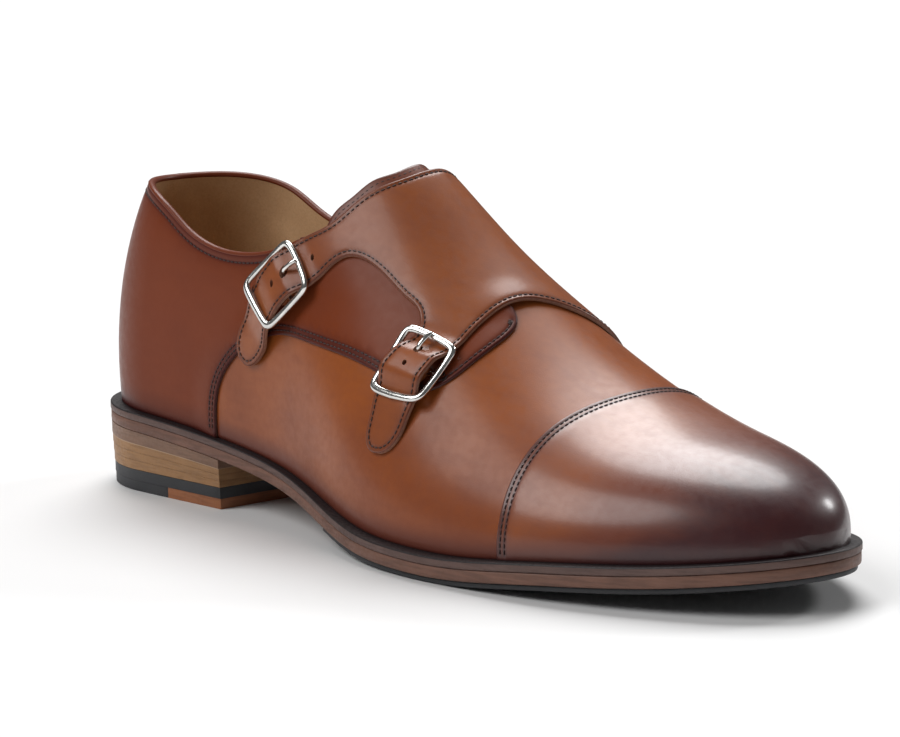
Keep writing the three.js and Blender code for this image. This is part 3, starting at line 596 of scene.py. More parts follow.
CALF = calf("cognac_calf")
CAP_CALF = calf("toe_cap_calf", clouds=0.45, gloss=0.4, coat=0.42)
# The quarters get a darker, less glossy copy of the calf: its darker tan is painted shade for the shoe's
# outer side.
QUARTER_CALF_PAINTED_SHADE = calf("quarter_calf_painted_shade", tan=(0.19, 0.038, 0.010), clouds=0.6, gloss=0.13, coat=0.06)
STRAP_CALF = calf("strap_calf", tan=(0.31, 0.084, 0.020), clouds=0.4, gloss=0.27, coat=0.24)
TONGUE_CALF = calf("tongue_calf", tan=(0.22, 0.062, 0.028), clouds=0.5, coat=0.15)
CUT_EDGE = plain_leather("cut_edge_leather", (0.30, 0.135, 0.080), (0.10, 0.035, 0.020), 0.55)
DARK_EDGE = plain_leather("dark_edge_leather", (0.085, 0.030, 0.020), (0.035, 0.012, 0.010), 0.5)
LINING_LEATHER = plain_leather("tan_lining_leather", (0.58, 0.37, 0.20), (0.44, 0.26, 0.13), 0.62, 0.2)

# ---------------------------------------------------------------- patterns and lasting
# Each piece of the upper is clicked from a flat pattern and pulled over the last. A pattern is
# drawn as points (x along the foot, per cent of the way round) joined by smooth stretches.
SOFT_EDGE, SOFT_DEPTH = 0.55, 0.35
RINGS = (0.22, 0.55, 1.0, 1.5, 2.0, 2.6, 3.2, 3.8)
GRID_STEP, PATH_STEP, ROW_STEP = 1.7, 1.1, 0.35
CLOSED_REACH, HOLE_SIDES = 4.5, 14
ROW_DEEP, ROW_REACH = 0.20, 0.42        # the groove of a stitch row, and the dip of leather round it
DIP_DEEP, DIP_REACH = 0.10, 1.5
FEATHER_SINK, FEATHER_REACH = 0.5, 2.5  # a piece is drawn in a little where it meets the welt
TOE_DARK_AT, TOE_DARK_SIZE = [302, 0, 22], [70, 74, 36]


def pattern(points):
    points = np.array(points, float)
    return np.stack([u_at(points[..., 0]) * PATTERN_LONG, points[..., 1] / 100 * PATTERN_ROUND], -1)


def run_length(points):
    return np.concatenate([[0], np.cumsum(np.linalg.norm(np.diff(points, axis=0), axis=1))])


def smooth(points, step=PATH_STEP):
    """A batten bent through pattern points, as a row of points about a step apart."""
    run = run_length(points)
    keep = np.concatenate([[True], np.diff(run) > 1e-6])
    points, run = points[keep], run[keep]
    at = np.linspace(0, run[-1], max(2, int(run[-1] / step) + 1))
    return np.stack([batten(run, points[:, 0])(at), batten(run, points[:, 1])(at)], -1)


def line(points, step=PATH_STEP):
    return smooth(pattern(points), step)


def straight(start, end, step=PATH_STEP):
    count = max(2, int(np.linalg.norm(np.subtract(end, start)) / step) + 1)
    return mix(np.array(start, float), np.array(end, float), np.linspace(0, 1, count)[:, None])


def outline_of(*stretches):
    """Joins stretches end to end into one closed outline that turns the positive way."""
    points = np.concatenate(stretches)
    apart = np.linalg.norm(points - np.roll(points, 1, axis=0), axis=1) > 0.05
    points = points[apart]
    ahead = np.roll(points, -1, axis=0)
    area = np.sum(points[:, 0] * ahead[:, 1] - ahead[:, 0] * points[:, 1])
    return points if area > 0 else points[::-1]


def shifted(points, distance, closed=False):
    """Pattern points moved sideways by a real distance over the last: left of their run."""
    step = 0.2
    along_p = skin(points + [step, 0], 0.0) - skin(points - [step, 0], 0.0)
    along_q = skin(points + [0, step], 0.0) - skin(points - [0, step], 0.0)
    span_p = np.minimum(points[:, 0] + step, PATTERN_LONG) - np.maximum(points[:, 0] - step, 0)
    span_q = np.minimum(points[:, 1] + step, PATTERN_ROUND) - np.maximum(points[:, 1] - step, 0)
    along_p /= span_p[:, None]
    along_q /= span_q[:, None]
    if closed:
        run = np.roll(points, -1, axis=0) - np.roll(points, 1, axis=0)
    else:
        run = np.gradient(points, axis=0)
    tangent = along_p * run[:, :1] + along_q * run[:, 1:]
    normal = np.cross(along_p, along_q)
    sideways = np.cross(normal, tangent)
    sideways *= distance / (np.linalg.norm(sideways, axis=1, keepdims=True) + 1e-12)
    pp, qq = np.sum(along_p**2, axis=1), np.sum(along_q**2, axis=1)
    pq = np.sum(along_p * along_q, axis=1)
    sp, sq = np.sum(sideways * along_p, axis=1), np.sum(sideways * along_q, axis=1)
    area = np.maximum(pp * qq - pq * pq, 1e-4)
    move = np.stack([(sp * qq - sq * pq) / area, (sq * pp - sp * pq) / area], -1)
    return points + np.clip(move, -3 * abs(distance) - 1, 3 * abs(distance) + 1)


def nearness(points, targets):
    """Distance from each point to the nearest of the targets, both in the last's millimetres."""
    tree = KDTree(len(targets))
    for i, target in enumerate(targets):
        tree.insert(target, i)
    tree.balance()
    return np.array([tree.find(point)[2] for point in points])


def shading(points):
    """How dark each place of the upper is made, 0 plain and 1 plum: brushed toe and heel, and a band along
    the feather edge.
    """
    x, z = points[:, 0], points[:, 2]
    tip = np.linalg.norm((points - TOE_DARK_AT) / TOE_DARK_SIZE, axis=1)
    toe = ease(1.30 - tip)
    toe_low = 0.55 * ease((x - 222) / 60) * ease((28 - (z - seat(x))) / 22)
    heel = 0.44 * ease((56 - x) / 60) + 0.22 * ease((34 - x) / 26) * ease((z - 60) / 34)
    # Darker in the 10 mm just above the feather edge, where the upper meets the welt.
    feather = 0.50 * ease(1 - (z - seat(x)) / 10)
    return np.clip(np.maximum(toe, toe_low) + heel + feather, 0, 1)


def last_piece(name, outline, under, thick, materials, holes=(), rows=(), closed_at=(), grid=GRID_STEP,
               rings=RINGS, rim=0.9, shade=0.0):
    """Cuts a pattern, bends it over the last and rounds its edge. under gives the offset of its
    flesh side, rows are stitch lines pressed into it, closed_at the ends where it closes up."""
    dense = np.concatenate([mix(outline, np.roll(outline, -1, axis=0), share) for share in (0, 1 / 3, 2 / 3)])
    border = skin(dense, 0.0)
    points, edges = [outline], [[i, (i + 1) % len(outline)] for i in range(len(outline))]
    for centre, radius in holes:
        first = sum(len(group) for group in points)
        turn = np.linspace(0, 2 * np.pi, HOLE_SIDES, endpoint=False)
        points.append(centre + radius * np.stack([np.cos(turn), np.sin(turn)], -1))
        edges += [[first + i, first + (i + 1) % HOLE_SIDES] for i in range(HOLE_SIDES)]
    for distance in rings:
        moved = shifted(outline, distance, True)
        points.append(moved[nearness(skin(moved, 0.0), border) > 0.9 * distance])
    low, high = outline.min(axis=0), outline.max(axis=0)
    columns, lines = np.arange(low[0], high[0], grid), np.arange(low[1], high[1], grid)
    spots = np.stack(np.meshgrid(columns, lines), -1).reshape(-1, 2)
    spots[:, 0] += grid / 2 * (np.rint((spots[:, 1] - low[1]) / grid) % 2)
    points.append(spots[nearness(skin(spots, 0.0), border) > rings[-1] + 0.5 * grid])
    points = np.concatenate(points)
    inside = np.all((points >= low - 1e-9) & (points <= high + 1e-9), axis=1)
    order = np.cumsum(inside) - 1
    edges = [[int(order[a]), int(order[b])] for a, b in edges]
    flat = delaunay_2d_cdt([Vector(point) for point in points[inside]], edges, [], 1, 1e-4)

    bm = bmesh.new()
    made = [bm.verts.new((*vert, 0)) for vert in flat[0]]
    for face in flat[2]:
        middle = np.mean([flat[0][i] for i in face], axis=0)
        if all(np.linalg.norm(middle - centre) > radius for centre, radius in holes):
            bm.faces.new([made[i] for i in face])
    loose = [vertex for vertex in bm.verts if not vertex.link_faces]
    bmesh.ops.delete(bm, geom=loose, context="VERTS")
    if bm.faces[:] and sum(face.normal.z for face in bm.faces) < 0:
        bmesh.ops.reverse_faces(bm, faces=bm.faces)
    for face in bm.faces:
        face.normal_update()
    flesh = bmesh.ops.duplicate(bm, geom=bm.verts[:] + bm.edges[:] + bm.faces[:])
    grain_faces = [item for item in flesh["geom"] if isinstance(item, bmesh.types.BMFace)]
    for vertex in {vertex for face in grain_faces for vertex in face.verts}:
        vertex.co.z = 1
    bmesh.ops.reverse_faces(bm, faces=[face for face in bm.faces if face.verts[0].co.z < 0.5])
    bridge = [edge for edge in bm.edges if len(edge.link_faces) == 1]
    walls = []
    partner = {(round(v.co.x, 5), round(v.co.y, 5)): v for v in bm.verts if v.co.z < 0.5}
    for edge in bridge:
        if edge.verts[0].co.z > 0.5:
            face, loop = edge.link_faces[0], edge.link_loops[0]
            start, end = loop.vert, loop.link_loop_next.vert
            below = [partner[(round(v.co.x, 5), round(v.co.y, 5))] for v in (start, end)]
            walls.append(bm.faces.new([end, start, below[0], below[1]]))
    for wall in walls:
        wall.material_index = len(materials) - 1
        ends = [vertex.co.x for vertex in wall.verts]
        wall.tag = ("heel" in closed_at and max(ends) < 1e-3) \
            or ("toe" in closed_at and min(ends) > PATTERN_LONG - 1e-3)
    bmesh.ops.delete(bm, geom=[wall for wall in walls if wall.tag], context="FACES_ONLY")

    place = np.array([vertex.co for vertex in bm.verts])
    lower = skin(place[:, :2], 0.0)
    inset = nearness(lower, border)
    grain = place[:, 2] > 0.5
    round_off = SOFT_DEPTH * np.clip(1 - inset / SOFT_EDGE, 0, 1)**2
    for end, at in (("heel", 0), ("toe", PATTERN_LONG)):
        if end in closed_at:
            joined = np.abs(place[:, 0] - at) < CLOSED_REACH
            round_off[joined] = 0
            inset[joined] = 2 * CLOSED_REACH
    press = np.zeros(len(place))
    for row in rows:
        away = nearness(lower, skin(smooth(row, ROW_STEP), 0.0))
        groove = ROW_DEEP * np.exp(-(away / ROW_REACH)**2) + DIP_DEEP * np.exp(-(away / DIP_REACH)**2)
        press = np.maximum(press, groove)
    offset = under(place[:, :2]) + np.where(grain, thick - round_off - press, 0)
    bent = skin(place[:, :2], offset)
    rise = bent[:, 2] - seat(bent[:, 0])
    bent[:, 2] -= FEATHER_SINK * (1 - ease(rise / FEATHER_REACH))
    shade_layer = bm.verts.layers.float.new("shade")
    rim_layer = bm.verts.layers.float.new("rim")
    dark = np.clip(shading(lower) + shade, 0, 1)
    edge_dark = rim * (0.50 * np.exp(-inset / 0.9) + 0.35 * np.exp(-inset / 3.5))
    edge_dark = np.clip(np.maximum(edge_dark, np.minimum(press * 3.2, 0.7) * rim), 0, 0.9)
    for vertex, point, how_dark, how_near in zip(bm.verts, to_frame(bent), dark, edge_dark):
        vertex.co = point
        vertex[shade_layer] = how_dark
        vertex[rim_layer] = how_near
    bmesh.ops.remove_doubles(bm, verts=bm.verts, dist=2e-7)
    bmesh.ops.dissolve_degenerate(bm, edges=bm.edges, dist=1e-8)
    bm.normal_update()
    return finish_mesh(name, bm, materials, 55)


def steady(offset):
    return lambda flat: np.full(len(flat), float(offset))


# ---------------------------------------------------------------- lining and insole
# Natural tan calf lines the whole shoe and is glued to the upper. A sock of the same leather
# lies on the insole from heel to toe.
COLLAR = {
    "x":     [4, 20, 35, 46, 56, 73, 88, 103, 114, 124, 132, 142],
    "outer": [98, 99.5, 98, 93.8, 87.8, 82.3, 82.2, 85.8, 91.5, 99, 106, 116],
    "inner": [98, 99.5, 97.5, 93.5, 88.5, 84, 84.5, 89.5, 96, 104, 110.5, 118],
}
COLLAR_HALVINGS = 26
collar = battens(COLLAR)


def collar_line(side, x_end, x_start=LAST_BACK, step=PATH_STEP):
    """The top line of a quarter, from the back seam forwards, as pattern points."""
    start, end = u_at(x_start), u_at(x_end)
    u = np.linspace(start, end, max(2, int((end - start) * PATTERN_LONG / step)))
    low, high = np.zeros(len(u)), np.full(len(u), 0.5)
    for _ in range(COLLAR_HALVINGS):
        middle = (low + high) / 2
        point = last_point(u, middle if side == "outer" else 1 - middle)
        below = point[:, 2] < collar[side](point[:, 0])
        low, high = np.where(below, middle, low), np.where(below, high, middle)
    v = (low + high) / 2
    return np.stack([u * PATTERN_LONG, (v if side == "outer" else 1 - v) * PATTERN_ROUND], -1)


outer_collar = collar_line("outer", 108)
inner_collar = collar_line("inner", 127)
TOE = [PATTERN_LONG, 0]
FAR_TOE = [PATTERN_LONG, PATTERN_ROUND]
throat = line([[108, 22.6], [118, 27], [128, 32.5], [150, 39], [168, 44], [174, 50], [168, 56], [150, 60],
               [138, 62], [127, 64]])
throat[0], throat[-1] = outer_collar[-1], inner_collar[-1]
lining_outline = outline_of(
    straight([0, 0], TOE), straight(TOE, FAR_TOE), straight(FAR_TOE, [0, PATTERN_ROUND]),
    straight([0, PATTERN_ROUND], inner_collar[0]), inner_collar, throat[::-1], outer_collar[::-1],
    straight(outer_collar[0], [0, 0]))
lining = last_piece("lining", lining_outline, steady(-2.2), 0.9, [LINING_LEATHER], closed_at=("heel", "toe"),
                    grid=2.6, rings=(0.3, 0.8, 1.8))
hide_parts("upper")


SOCK_IN, SOCK_ABOVE, SOCK_THICK = -2.5, 2.4, 2.0
ARCH_RISE, ARCH_AT, ARCH_REACH = 1.1, 105, 45


def insole_layer():
    bm = bmesh.new()
    steps, across = 90, 16
    bmesh.ops.create_grid(bm, x_segments=steps, y_segments=across, size=0.5)

    def place(flat):
        u = flat[:, 0] + 0.5
        w = flat[:, 1] + 0.5
        sides = [skin(np.stack([u * PATTERN_LONG, 0 * u + end], -1), SOCK_IN) for end in (0, PATTERN_ROUND)]
        point = mix(sides[0], sides[1], w[:, None])
        edge = 1 - (2 * w - 1)**2
        point[:, 2] = seat(point[:, 0]) + SOCK_ABOVE - 0.5 * (1 - edge)**3
        point[:, 2] += ARCH_RISE * (1 - edge)**2 * ease(1 - np.abs(point[:, 0] - ARCH_AT) / ARCH_REACH)
        return to_frame(point)
    place_vertices(bm, place)
    bmesh.ops.remove_doubles(bm, verts=bm.verts, dist=1e-6)
    top = bm.faces[:]
    down = bmesh.ops.extrude_face_region(bm, geom=top)
    for item in down["geom"]:
        if isinstance(item, bmesh.types.BMVert):
            item.co.z -= SOCK_THICK * MM
    bmesh.ops.recalc_face_normals(bm, faces=bm.faces)
    return bm


sock = finish_mesh("insole_sock", insole_layer(), [LINING_LEATHER])
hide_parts("insole")

# ---------------------------------------------------------------- vamp and toe cap
# The vamp wraps the forefoot under both quarters. The toe cap is laid over its front and sewn
# down with two close rows of thread.
VAMP_THICK, CAP_THICK = 1.2, 1.1
FINE_GRID, STRONG_RIM = 1.4, 1.25
cap_under = steady(0.03)
vamp_rear = line([[66, 0], [68, 5], [80, 10], [102, 15], [125, 19.5], [150, 25], [168, 34], [175, 43],
                  [176, 50], [174, 60], [160, 68], [135, 74], [104, 82], [82, 89], [69, 95], [66, 100]])
vamp_outline = outline_of(vamp_rear[::-1], straight(vamp_rear[0], TOE), straight(TOE, FAR_TOE),
                          straight(FAR_TOE, vamp_rear[-1]))
CAP_SEAM = [[219, 0], [219, 8], [218.4, 18], [218.8, 28], [220.8, 37], [222.4, 45], [222.6, 53], [221.6, 61],
            [219.8, 70], [219, 80], [219, 91], [219, 100]]
cap_edge = line(CAP_SEAM)
cap_rows = [shifted(cap_edge, -distance)[2:-2] for distance in (1.3, 2.8)]
vamp = last_piece("vamp", vamp_outline, steady(-VAMP_THICK), VAMP_THICK, [CALF, DARK_EDGE],
                  closed_at=("toe",))
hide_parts("upper")
cap_outline = outline_of(cap_edge[::-1], straight(cap_edge[0], TOE), straight(TOE, FAR_TOE),
                         straight(FAR_TOE, cap_edge[-1]))
cap = last_piece("toe_cap_leather", cap_outline, cap_under, CAP_THICK, [CAP_CALF, DARK_EDGE],
                 rows=cap_rows, closed_at=("toe",), grid=FINE_GRID, rim=STRONG_RIM)
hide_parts("toe_cap")

# ---------------------------------------------------------------- buckle places
# Two small rounded buckles sit on the outer side. Each has a place on the last and a heading
# along its strap, and everything near it is drawn along and across that heading.
BUCKLES = {
    "name":         ["upper", "lower"],
    "x":            [107.3, 170.8],
    "round":        [17.3, 24.4],
    "toward_x":     [114.6, 171.8],
    "toward_round": [21.3, 28.2],
    "lift":         [3.9, 2.7],
    "tilt":         [1.4, 0],
}
FRAME_LENGTH, FRAME_FRONT, FRAME_REAR = 9.4, 8.9, 9.8
FRAME_BOW = 1.2
STRAP_HALF, STRAP_FROM, STRAP_TAIL, STRAP_NOSE = 7.6, 12, 27, 9
STRAP_RISE, SNUG_ROOM = 4.5, 3.0
RISE_STATIONS = np.array([-22, -9.4, -2.5, 2.2, 9.4, 14])   # tail, rear end, over the bar, front end, flap
RISE_WIDTH, RISE_SIDE_FADE = 14, 4.9
PRONG_AT, SPARE_HOLE_AT, LOOSE_HOLE_AT = 4.5, -1.0, (14.6, -0.6)
PRONG_HOLE_RADIUS, HOLE_RADIUS = 1.3, 0.72


def on_last(x, around, offset=0.0):
    return skin(pattern([[x, around]]), np.array([offset]))[0]


def buckle_place(i):
    x, around = BUCKLES["x"][i], BUCKLES["round"][i]
    per_x = on_last(x + 0.5, around) - on_last(x - 0.5, around)
    per_round = on_last(x, around + 0.5) - on_last(x, around - 0.5)
    normal = np.cross(per_x, per_round)
    normal /= np.linalg.norm(normal)
    along = per_x * (BUCKLES["toward_x"][i] - x) + per_round * (BUCKLES["toward_round"][i] - around)
    along /= np.linalg.norm(along)
    return {"x": x, "round": around, "axes": np.stack([per_x, per_round]), "along": along,
            "across": np.cross(normal, along), "centre": on_last(x, around), "name": BUCKLES["name"][i],
            "lift": BUCKLES["lift"][i], "tilt": BUCKLES["tilt"][i]}


PLACES = [buckle_place(i) for i in range(len(BUCKLES["x"]))]


def drawn(place, along, across):
    """Points drawn flat round a buckle, as x and per cent round on the last."""
    flat = np.multiply.outer(np.asarray(along, float), place["along"]) \
        + np.multiply.outer(np.asarray(across, float), place["across"])
    axes = place["axes"]
    steps = (flat @ axes.T) @ np.linalg.inv(axes @ axes.T)
    return steps + [place["x"], place["round"]]


def near(place, along, across, offset):
    return skin(pattern(drawn(place, along, across)), offset)


def strap_lift(points):
    """How far a strap stands up: snug under both ends of its buckle and high over the bar."""
    lift = np.zeros(len(points))
    for place in PLACES:
        along = (points - place["centre"]) @ place["along"]
        aside = np.abs((points - place["centre"]) @ place["across"])
        snug = place["lift"] + FRAME_BOW - SNUG_ROOM
        heights = np.array([0, snug + place["tilt"], STRAP_RISE, STRAP_RISE, snug - place["tilt"], 0])
        leg = np.clip(np.searchsorted(RISE_STATIONS, along) - 1, 0, len(RISE_STATIONS) - 2)
        start, end = RISE_STATIONS[leg], RISE_STATIONS[leg + 1]
        over = mix(heights[leg], heights[leg + 1], ease((along - start) / (end - start)))
        lift = np.maximum(lift, over * ease((RISE_WIDTH - aside) / RISE_SIDE_FADE))
    return lift


# ---------------------------------------------------------------- outer quarter
# The outer quarter runs from the back seam to a narrow front that ends under the flap. Its lower
# edge is stitched to the vamp with two rows, and the buckles hang on it.
QUARTER_THICK, STEP_REACH, LOWER_ROW_END = 1.1, 14, 176
ON_LINING, ON_VAMP = -1.05, 0.03       # the flesh side of a quarter, over the lining and over the vamp
OUTER_SEAM = [[73.2, 0], [74.0, 2.7], [78.5, 5.3], [87.4, 7.9], [103.5, 11.3], [122.5, 14.7], [139.6, 18],
              [155.8, 20.3], [168, 21.3], [177, 22.6], [182.5, 25.5], [185.8, 30], [187.7, 35.3],
              [187.8, 38.8], [185.6, 41.4], [182.1, 42.3]]
outer_seam = line(OUTER_SEAM)
outer_top = line([[182.1, 42.3], [172, 41], [155, 37.5], [138, 35], [128, 31], [118, 26], [108, 22.6]])
outer_top[-1] = outer_collar[-1]
outer_seam_skin = skin(outer_seam, 0.0)


def outer_under(flat):
    close = ease(1 - nearness(skin(flat, 0.0), outer_seam_skin) / STEP_REACH)
    return mix(ON_LINING, ON_VAMP, close)


outer_outline = outline_of(straight([0, 0], outer_seam[0]), outer_seam, outer_top, outer_collar[::-1],
                           straight(outer_collar[0], [0, 0]))
low_seam = outer_seam[outer_seam[:, 0] < u_at(LOWER_ROW_END) * PATTERN_LONG]
outer_rows = [shifted(outer_seam, 1.5)[1:-4], shifted(low_seam, 3.0)[1:]]
outer_collar_row = shifted(outer_collar, -2.6)[2:-1]
outer_quarter = last_piece("outer_quarter", outer_outline, outer_under, QUARTER_THICK,
                           [QUARTER_CALF_PAINTED_SHADE, DARK_EDGE], rows=outer_rows + [outer_collar_row], shade=0.05,
                           rim=STRONG_RIM)
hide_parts("upper")

# ---------------------------------------------------------------- inner quarter with its straps
# The inner quarter, the flap over the instep and both straps are one piece of calf. The straps
# are cut out of its outer end, punched for the prongs and stitched all round near the edge.
FLAP_THICK, FLAP_ABOVE = 1.4, (0.25, 1.18)
FLAP_START, FLAP_FADE = 72, 9
FLAP_TOP = [[133, 60.5], [136.4, 56], [137, 51], [135, 42.7], [128.1, 35], [121.3, 28.3]]
FLAP_CUT_OUT = [[126.5, 24.8], [131, 27.2], [138, 29.1], [147.5, 30.1], [156, 30.5], [161.5, 30.6]]
FLAP_FRONT = [[179.8, 33], [181, 42.3], [183.2, 47], [187, 52], [190, 58], [192, 66], [193.4, 73], [193, 80]]
INNER_SEAM = [[193, 80], [178, 80.2], [160, 81], [139.6, 82.5], [122.5, 85.3], [103.5, 88.7], [87.4, 92.1],
              [79.2, 94.7], [74.2, 97.3], [73.2, 100]]


def strap_edge(place):
    """From the flap down one side of a strap, round its end and up the other side."""
    nose = STRAP_TAIL - STRAP_NOSE
    turn = np.array([0.3, 0.6, 0.85, 1.0]) * np.pi / 2
    along = np.concatenate([[STRAP_FROM, 0, -nose], -nose - STRAP_NOSE * np.sin(turn)])
    across = np.concatenate([[STRAP_HALF] * 3, STRAP_HALF * np.cos(turn)**0.8])
    return drawn(place, np.concatenate([along, along[-2::-1]]), np.concatenate([across, -across[-2::-1]]))


flap_points = np.concatenate([pattern(FLAP_TOP), pattern(strap_edge(PLACES[0])), pattern(FLAP_CUT_OUT),
                              pattern(strap_edge(PLACES[1])), pattern(FLAP_FRONT)])
flap_edge = smooth(np.concatenate([inner_collar[-30::8], flap_points]))
inner_top = inner_collar[:-30]
inner_seam = line(INNER_SEAM)
inner_seam_skin = skin(inner_seam, 0.0)


def inner_under(flat):
    at = skin(flat, 0.0)
    quarter = mix(ON_LINING, ON_VAMP, ease(1 - nearness(at, inner_seam_skin) / STEP_REACH))
    flap = mix(*FLAP_ABOVE, ease(1 - nearness(at, outer_seam_skin) / STEP_REACH)) + strap_lift(at)
    return mix(quarter, flap, ease((FLAP_START - flat[:, 1] / PATTERN_ROUND * 100) / FLAP_FADE))


punched = [(pattern(drawn(place, along, 0)), radius) for place in PLACES
           for along, radius in ((PRONG_AT, PRONG_HOLE_RADIUS), (SPARE_HOLE_AT, HOLE_RADIUS))]
punched.append((pattern(drawn(PLACES[0], *LOOSE_HOLE_AT)), HOLE_RADIUS))
inner_outline = outline_of(flap_edge, inner_seam, straight(inner_seam[-1], [0, PATTERN_ROUND]),
                           straight([0, PATTERN_ROUND], inner_top[0]), inner_top)
flap_row = shifted(flap_edge, 1.5)[1:-2]
inner_rows = [shifted(inner_seam, 1.5)[2:-1], shifted(inner_seam, 3.0)[3:-1]]
inner_collar_row = shifted(inner_top, 2.6)[2:]
inner_quarter = last_piece("inner_quarter_with_straps", inner_outline, inner_under, FLAP_THICK,
                           [STRAP_CALF, CUT_EDGE], holes=punched,
                           rows=[flap_row, inner_collar_row] + inner_rows, grid=FINE_GRID, rim=0.75)
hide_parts("strap_piece")

# ---------------------------------------------------------------- tongue
# A padded calf tongue under the flap, sewn to the vamp in front. Only its top edge shows.
TONGUE = [[190, 30], [160, 27], [130, 25], [116, 25.5], [116.5, 28], [121.5, 33], [125.5, 38], [129.5, 42.5],
          [131, 50], [129, 58], [127, 66], [150, 70], [176, 68], [190, 62], [192, 46], [190, 30]]
TONGUE_UNDER, TONGUE_THICK = -4.5, 1.6
tongue_edge = line(TONGUE)
tongue_row = shifted(line(TONGUE[3:11]), -2.0)[1:-1]
tongue = last_piece("tongue_leather", outline_of(tongue_edge), steady(TONGUE_UNDER), TONGUE_THICK,
                    [TONGUE_CALF, DARK_EDGE], grid=2.2, shade=0.12)
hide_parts("tongue")

# ---------------------------------------------------------------- collar edge
# The top edge of both quarters is folded over a cord, so it shows as a thin dark roll between
# the calf and the lining.
ROLL_WIDE, ROLL_HIGH, ROLL_SIDES = 1.28, 0.85, 12
ROLL_IN, ROLL_SHADE = -1.1, 0.42


def roll(path, name):
    bm = bmesh.new()
    steps = len(path) - 1
    bmesh.ops.create_grid(bm, x_segments=steps, y_segments=ROLL_SIDES, size=0.5)
    middle = skin(path, ROLL_IN)
    out = skin(path, 0.0) - middle
    out /= np.linalg.norm(out, axis=1, keepdims=True)
    run = np.gradient(middle, axis=0)
    run /= np.linalg.norm(run, axis=1, keepdims=True)
    up = np.cross(run, out)

    def place(flat):
        i = np.rint((flat[:, 0] + 0.5) * steps).astype(int)
        turn = 2 * np.pi * (flat[:, 1] + 0.5)
        return to_frame(middle[i] + out[i] * (ROLL_WIDE * np.cos(turn))[:, None]
                        + up[i] * (ROLL_HIGH * np.sin(turn))[:, None])
    place_vertices(bm, place)
    bmesh.ops.remove_doubles(bm, verts=bm.verts, dist=1e-7)
    bmesh.ops.holes_fill(bm, edges=bm.edges, sides=0)
    bmesh.ops.recalc_face_normals(bm, faces=bm.faces)
    shade_layer = bm.verts.layers.float.new("shade")
    for vertex in bm.verts:
        vertex[shade_layer] = ROLL_SHADE
    # The roll takes the quarters' calf, whose darker tan is painted shade, and is brushed darker still.
    piece = finish_mesh(name, bm, [QUARTER_CALF_PAINTED_SHADE])
    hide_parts("upper")


roll(outer_collar, "outer_collar_roll")
roll(inner_collar[:-8], "inner_collar_roll")

# ---------------------------------------------------------------- stitching
# Dark brown waxed thread: short stitches laid end to end, each sunk a little in the leather.
STITCH_LONG, STITCH_PITCH, THREAD, STITCH_SWELL = 1.35, 1.85, 0.26, 0.56
THREAD_COLOUR, THREAD_DARK = (0.040, 0.017, 0.014), (0.018, 0.008, 0.008)
thread_material = plain_leather("waxed_thread", THREAD_COLOUR, THREAD_DARK, 0.55, 0.3)


def stitch(bm, row, face):
    path = smooth(row, 0.25)
    at = skin(path, face(path))
    out = skin(path, face(path) + 1.0) - skin(path, face(path))
    run = run_length(at)
    for number in range(int(run[-1] / STITCH_PITCH)):
        ends = (number * STITCH_PITCH, number * STITCH_PITCH + STITCH_LONG)
        start, end = (np.array([np.interp(s, run, at[:, k]) for k in range(3)]) for s in ends)
        way = Vector(end - start).normalized()
        middle = np.interp(np.mean(ends), run, np.arange(len(run)))
        up = Vector(out[int(middle)]).normalized()
        side = way.cross(up).normalized()
        up = side.cross(way)
        turn = Matrix((way, side, up)).transposed().to_4x4()
        size = Matrix.Diagonal((STITCH_LONG * STITCH_SWELL * MM, THREAD * MM, THREAD * MM, 1))
        spot = Matrix.Translation(to_frame([(start + end) / 2])[0])
        bmesh.ops.create_uvsphere(bm, u_segments=6, v_segments=5, radius=1, matrix=spot @ turn @ size)


def stitching(name, rows, replaced):
    bm = bmesh.new()
    for row, face in rows:
        stitch(bm, row, face)
    piece = finish_mesh(name, bm, [thread_material])
    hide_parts(replaced)


def on_top(under, thick, sunk=0.14):
    return lambda flat: under(flat) + thick - sunk


def bar_tack(x, around, heading, under, thick):
    """Three short stitches side by side across the end of a seam."""
    centre = pattern([[x, around]])[0]
    way = np.array([math.cos(heading), math.sin(heading)])
    beside = np.array([-way[1], way[0]])
    return [(centre + beside * gap + np.outer([-1.6, 0, 1.6], way), on_top(under, thick, 0.05))
            for gap in (-0.55, 0, 0.55)]


on_outer = on_top(outer_under, QUARTER_THICK)
on_inner = on_top(inner_under, FLAP_THICK)
on_cap = on_top(cap_under, CAP_THICK)
on_tongue = on_top(steady(TONGUE_UNDER), TONGUE_THICK)
stitching("toe_cap_stitching", [(row, on_cap) for row in cap_rows], "toe_cap")
stitching("outer_quarter_stitching", [(row, on_outer) for row in outer_rows + [outer_collar_row]]
          + bar_tack(186.2, 40.0, 0.5, outer_under, QUARTER_THICK)
          + bar_tack(180.6, 26.0, 2.6, outer_under, QUARTER_THICK),
          "upper")
stitching("strap_stitching", [(row, on_inner) for row in [flap_row, inner_collar_row] + inner_rows]
          + bar_tack(184.5, 77.5, 0.0, inner_under, FLAP_THICK)
          + bar_tack(184.5, 75.8, 0.0, inner_under, FLAP_THICK),
          "strap_piece")
stitching("tongue_stitching", [(tongue_row, on_tongue)], "tongue")

# ---------------------------------------------------------------- buckles
# Cast and polished frames with bowed ends, a bar across the middle under the strap, a round
# prong that comes up through the strap and rests on the front, and a calf tab round the bar.
BAR_RADIUS, BAR_LIFT, PRONG_RADIUS, PRONG_TIP = 0.9, 1.5, 0.72, 0.1
WIRE_SIDES, FRAME_STEPS, BAR_STEPS, PRONG_STEPS, METAL_SHARP = 16, 144, 40, 48, 80
FRAME_SQUARE, FRAME_WIDE, FRAME_DEEP, END_BOW = 9.0, 1.15, 0.9, 0.7
TAB_HALF, TAB_THICK, TAB_REAR, TAB_FRONT, TAB_NARROW = 5.5, 1.1, -5.5, 1.6, 0.8
TAB_SWELL, TAB_SWELL_REACH = 1.5, 2.6   # where the tab goes round the bar


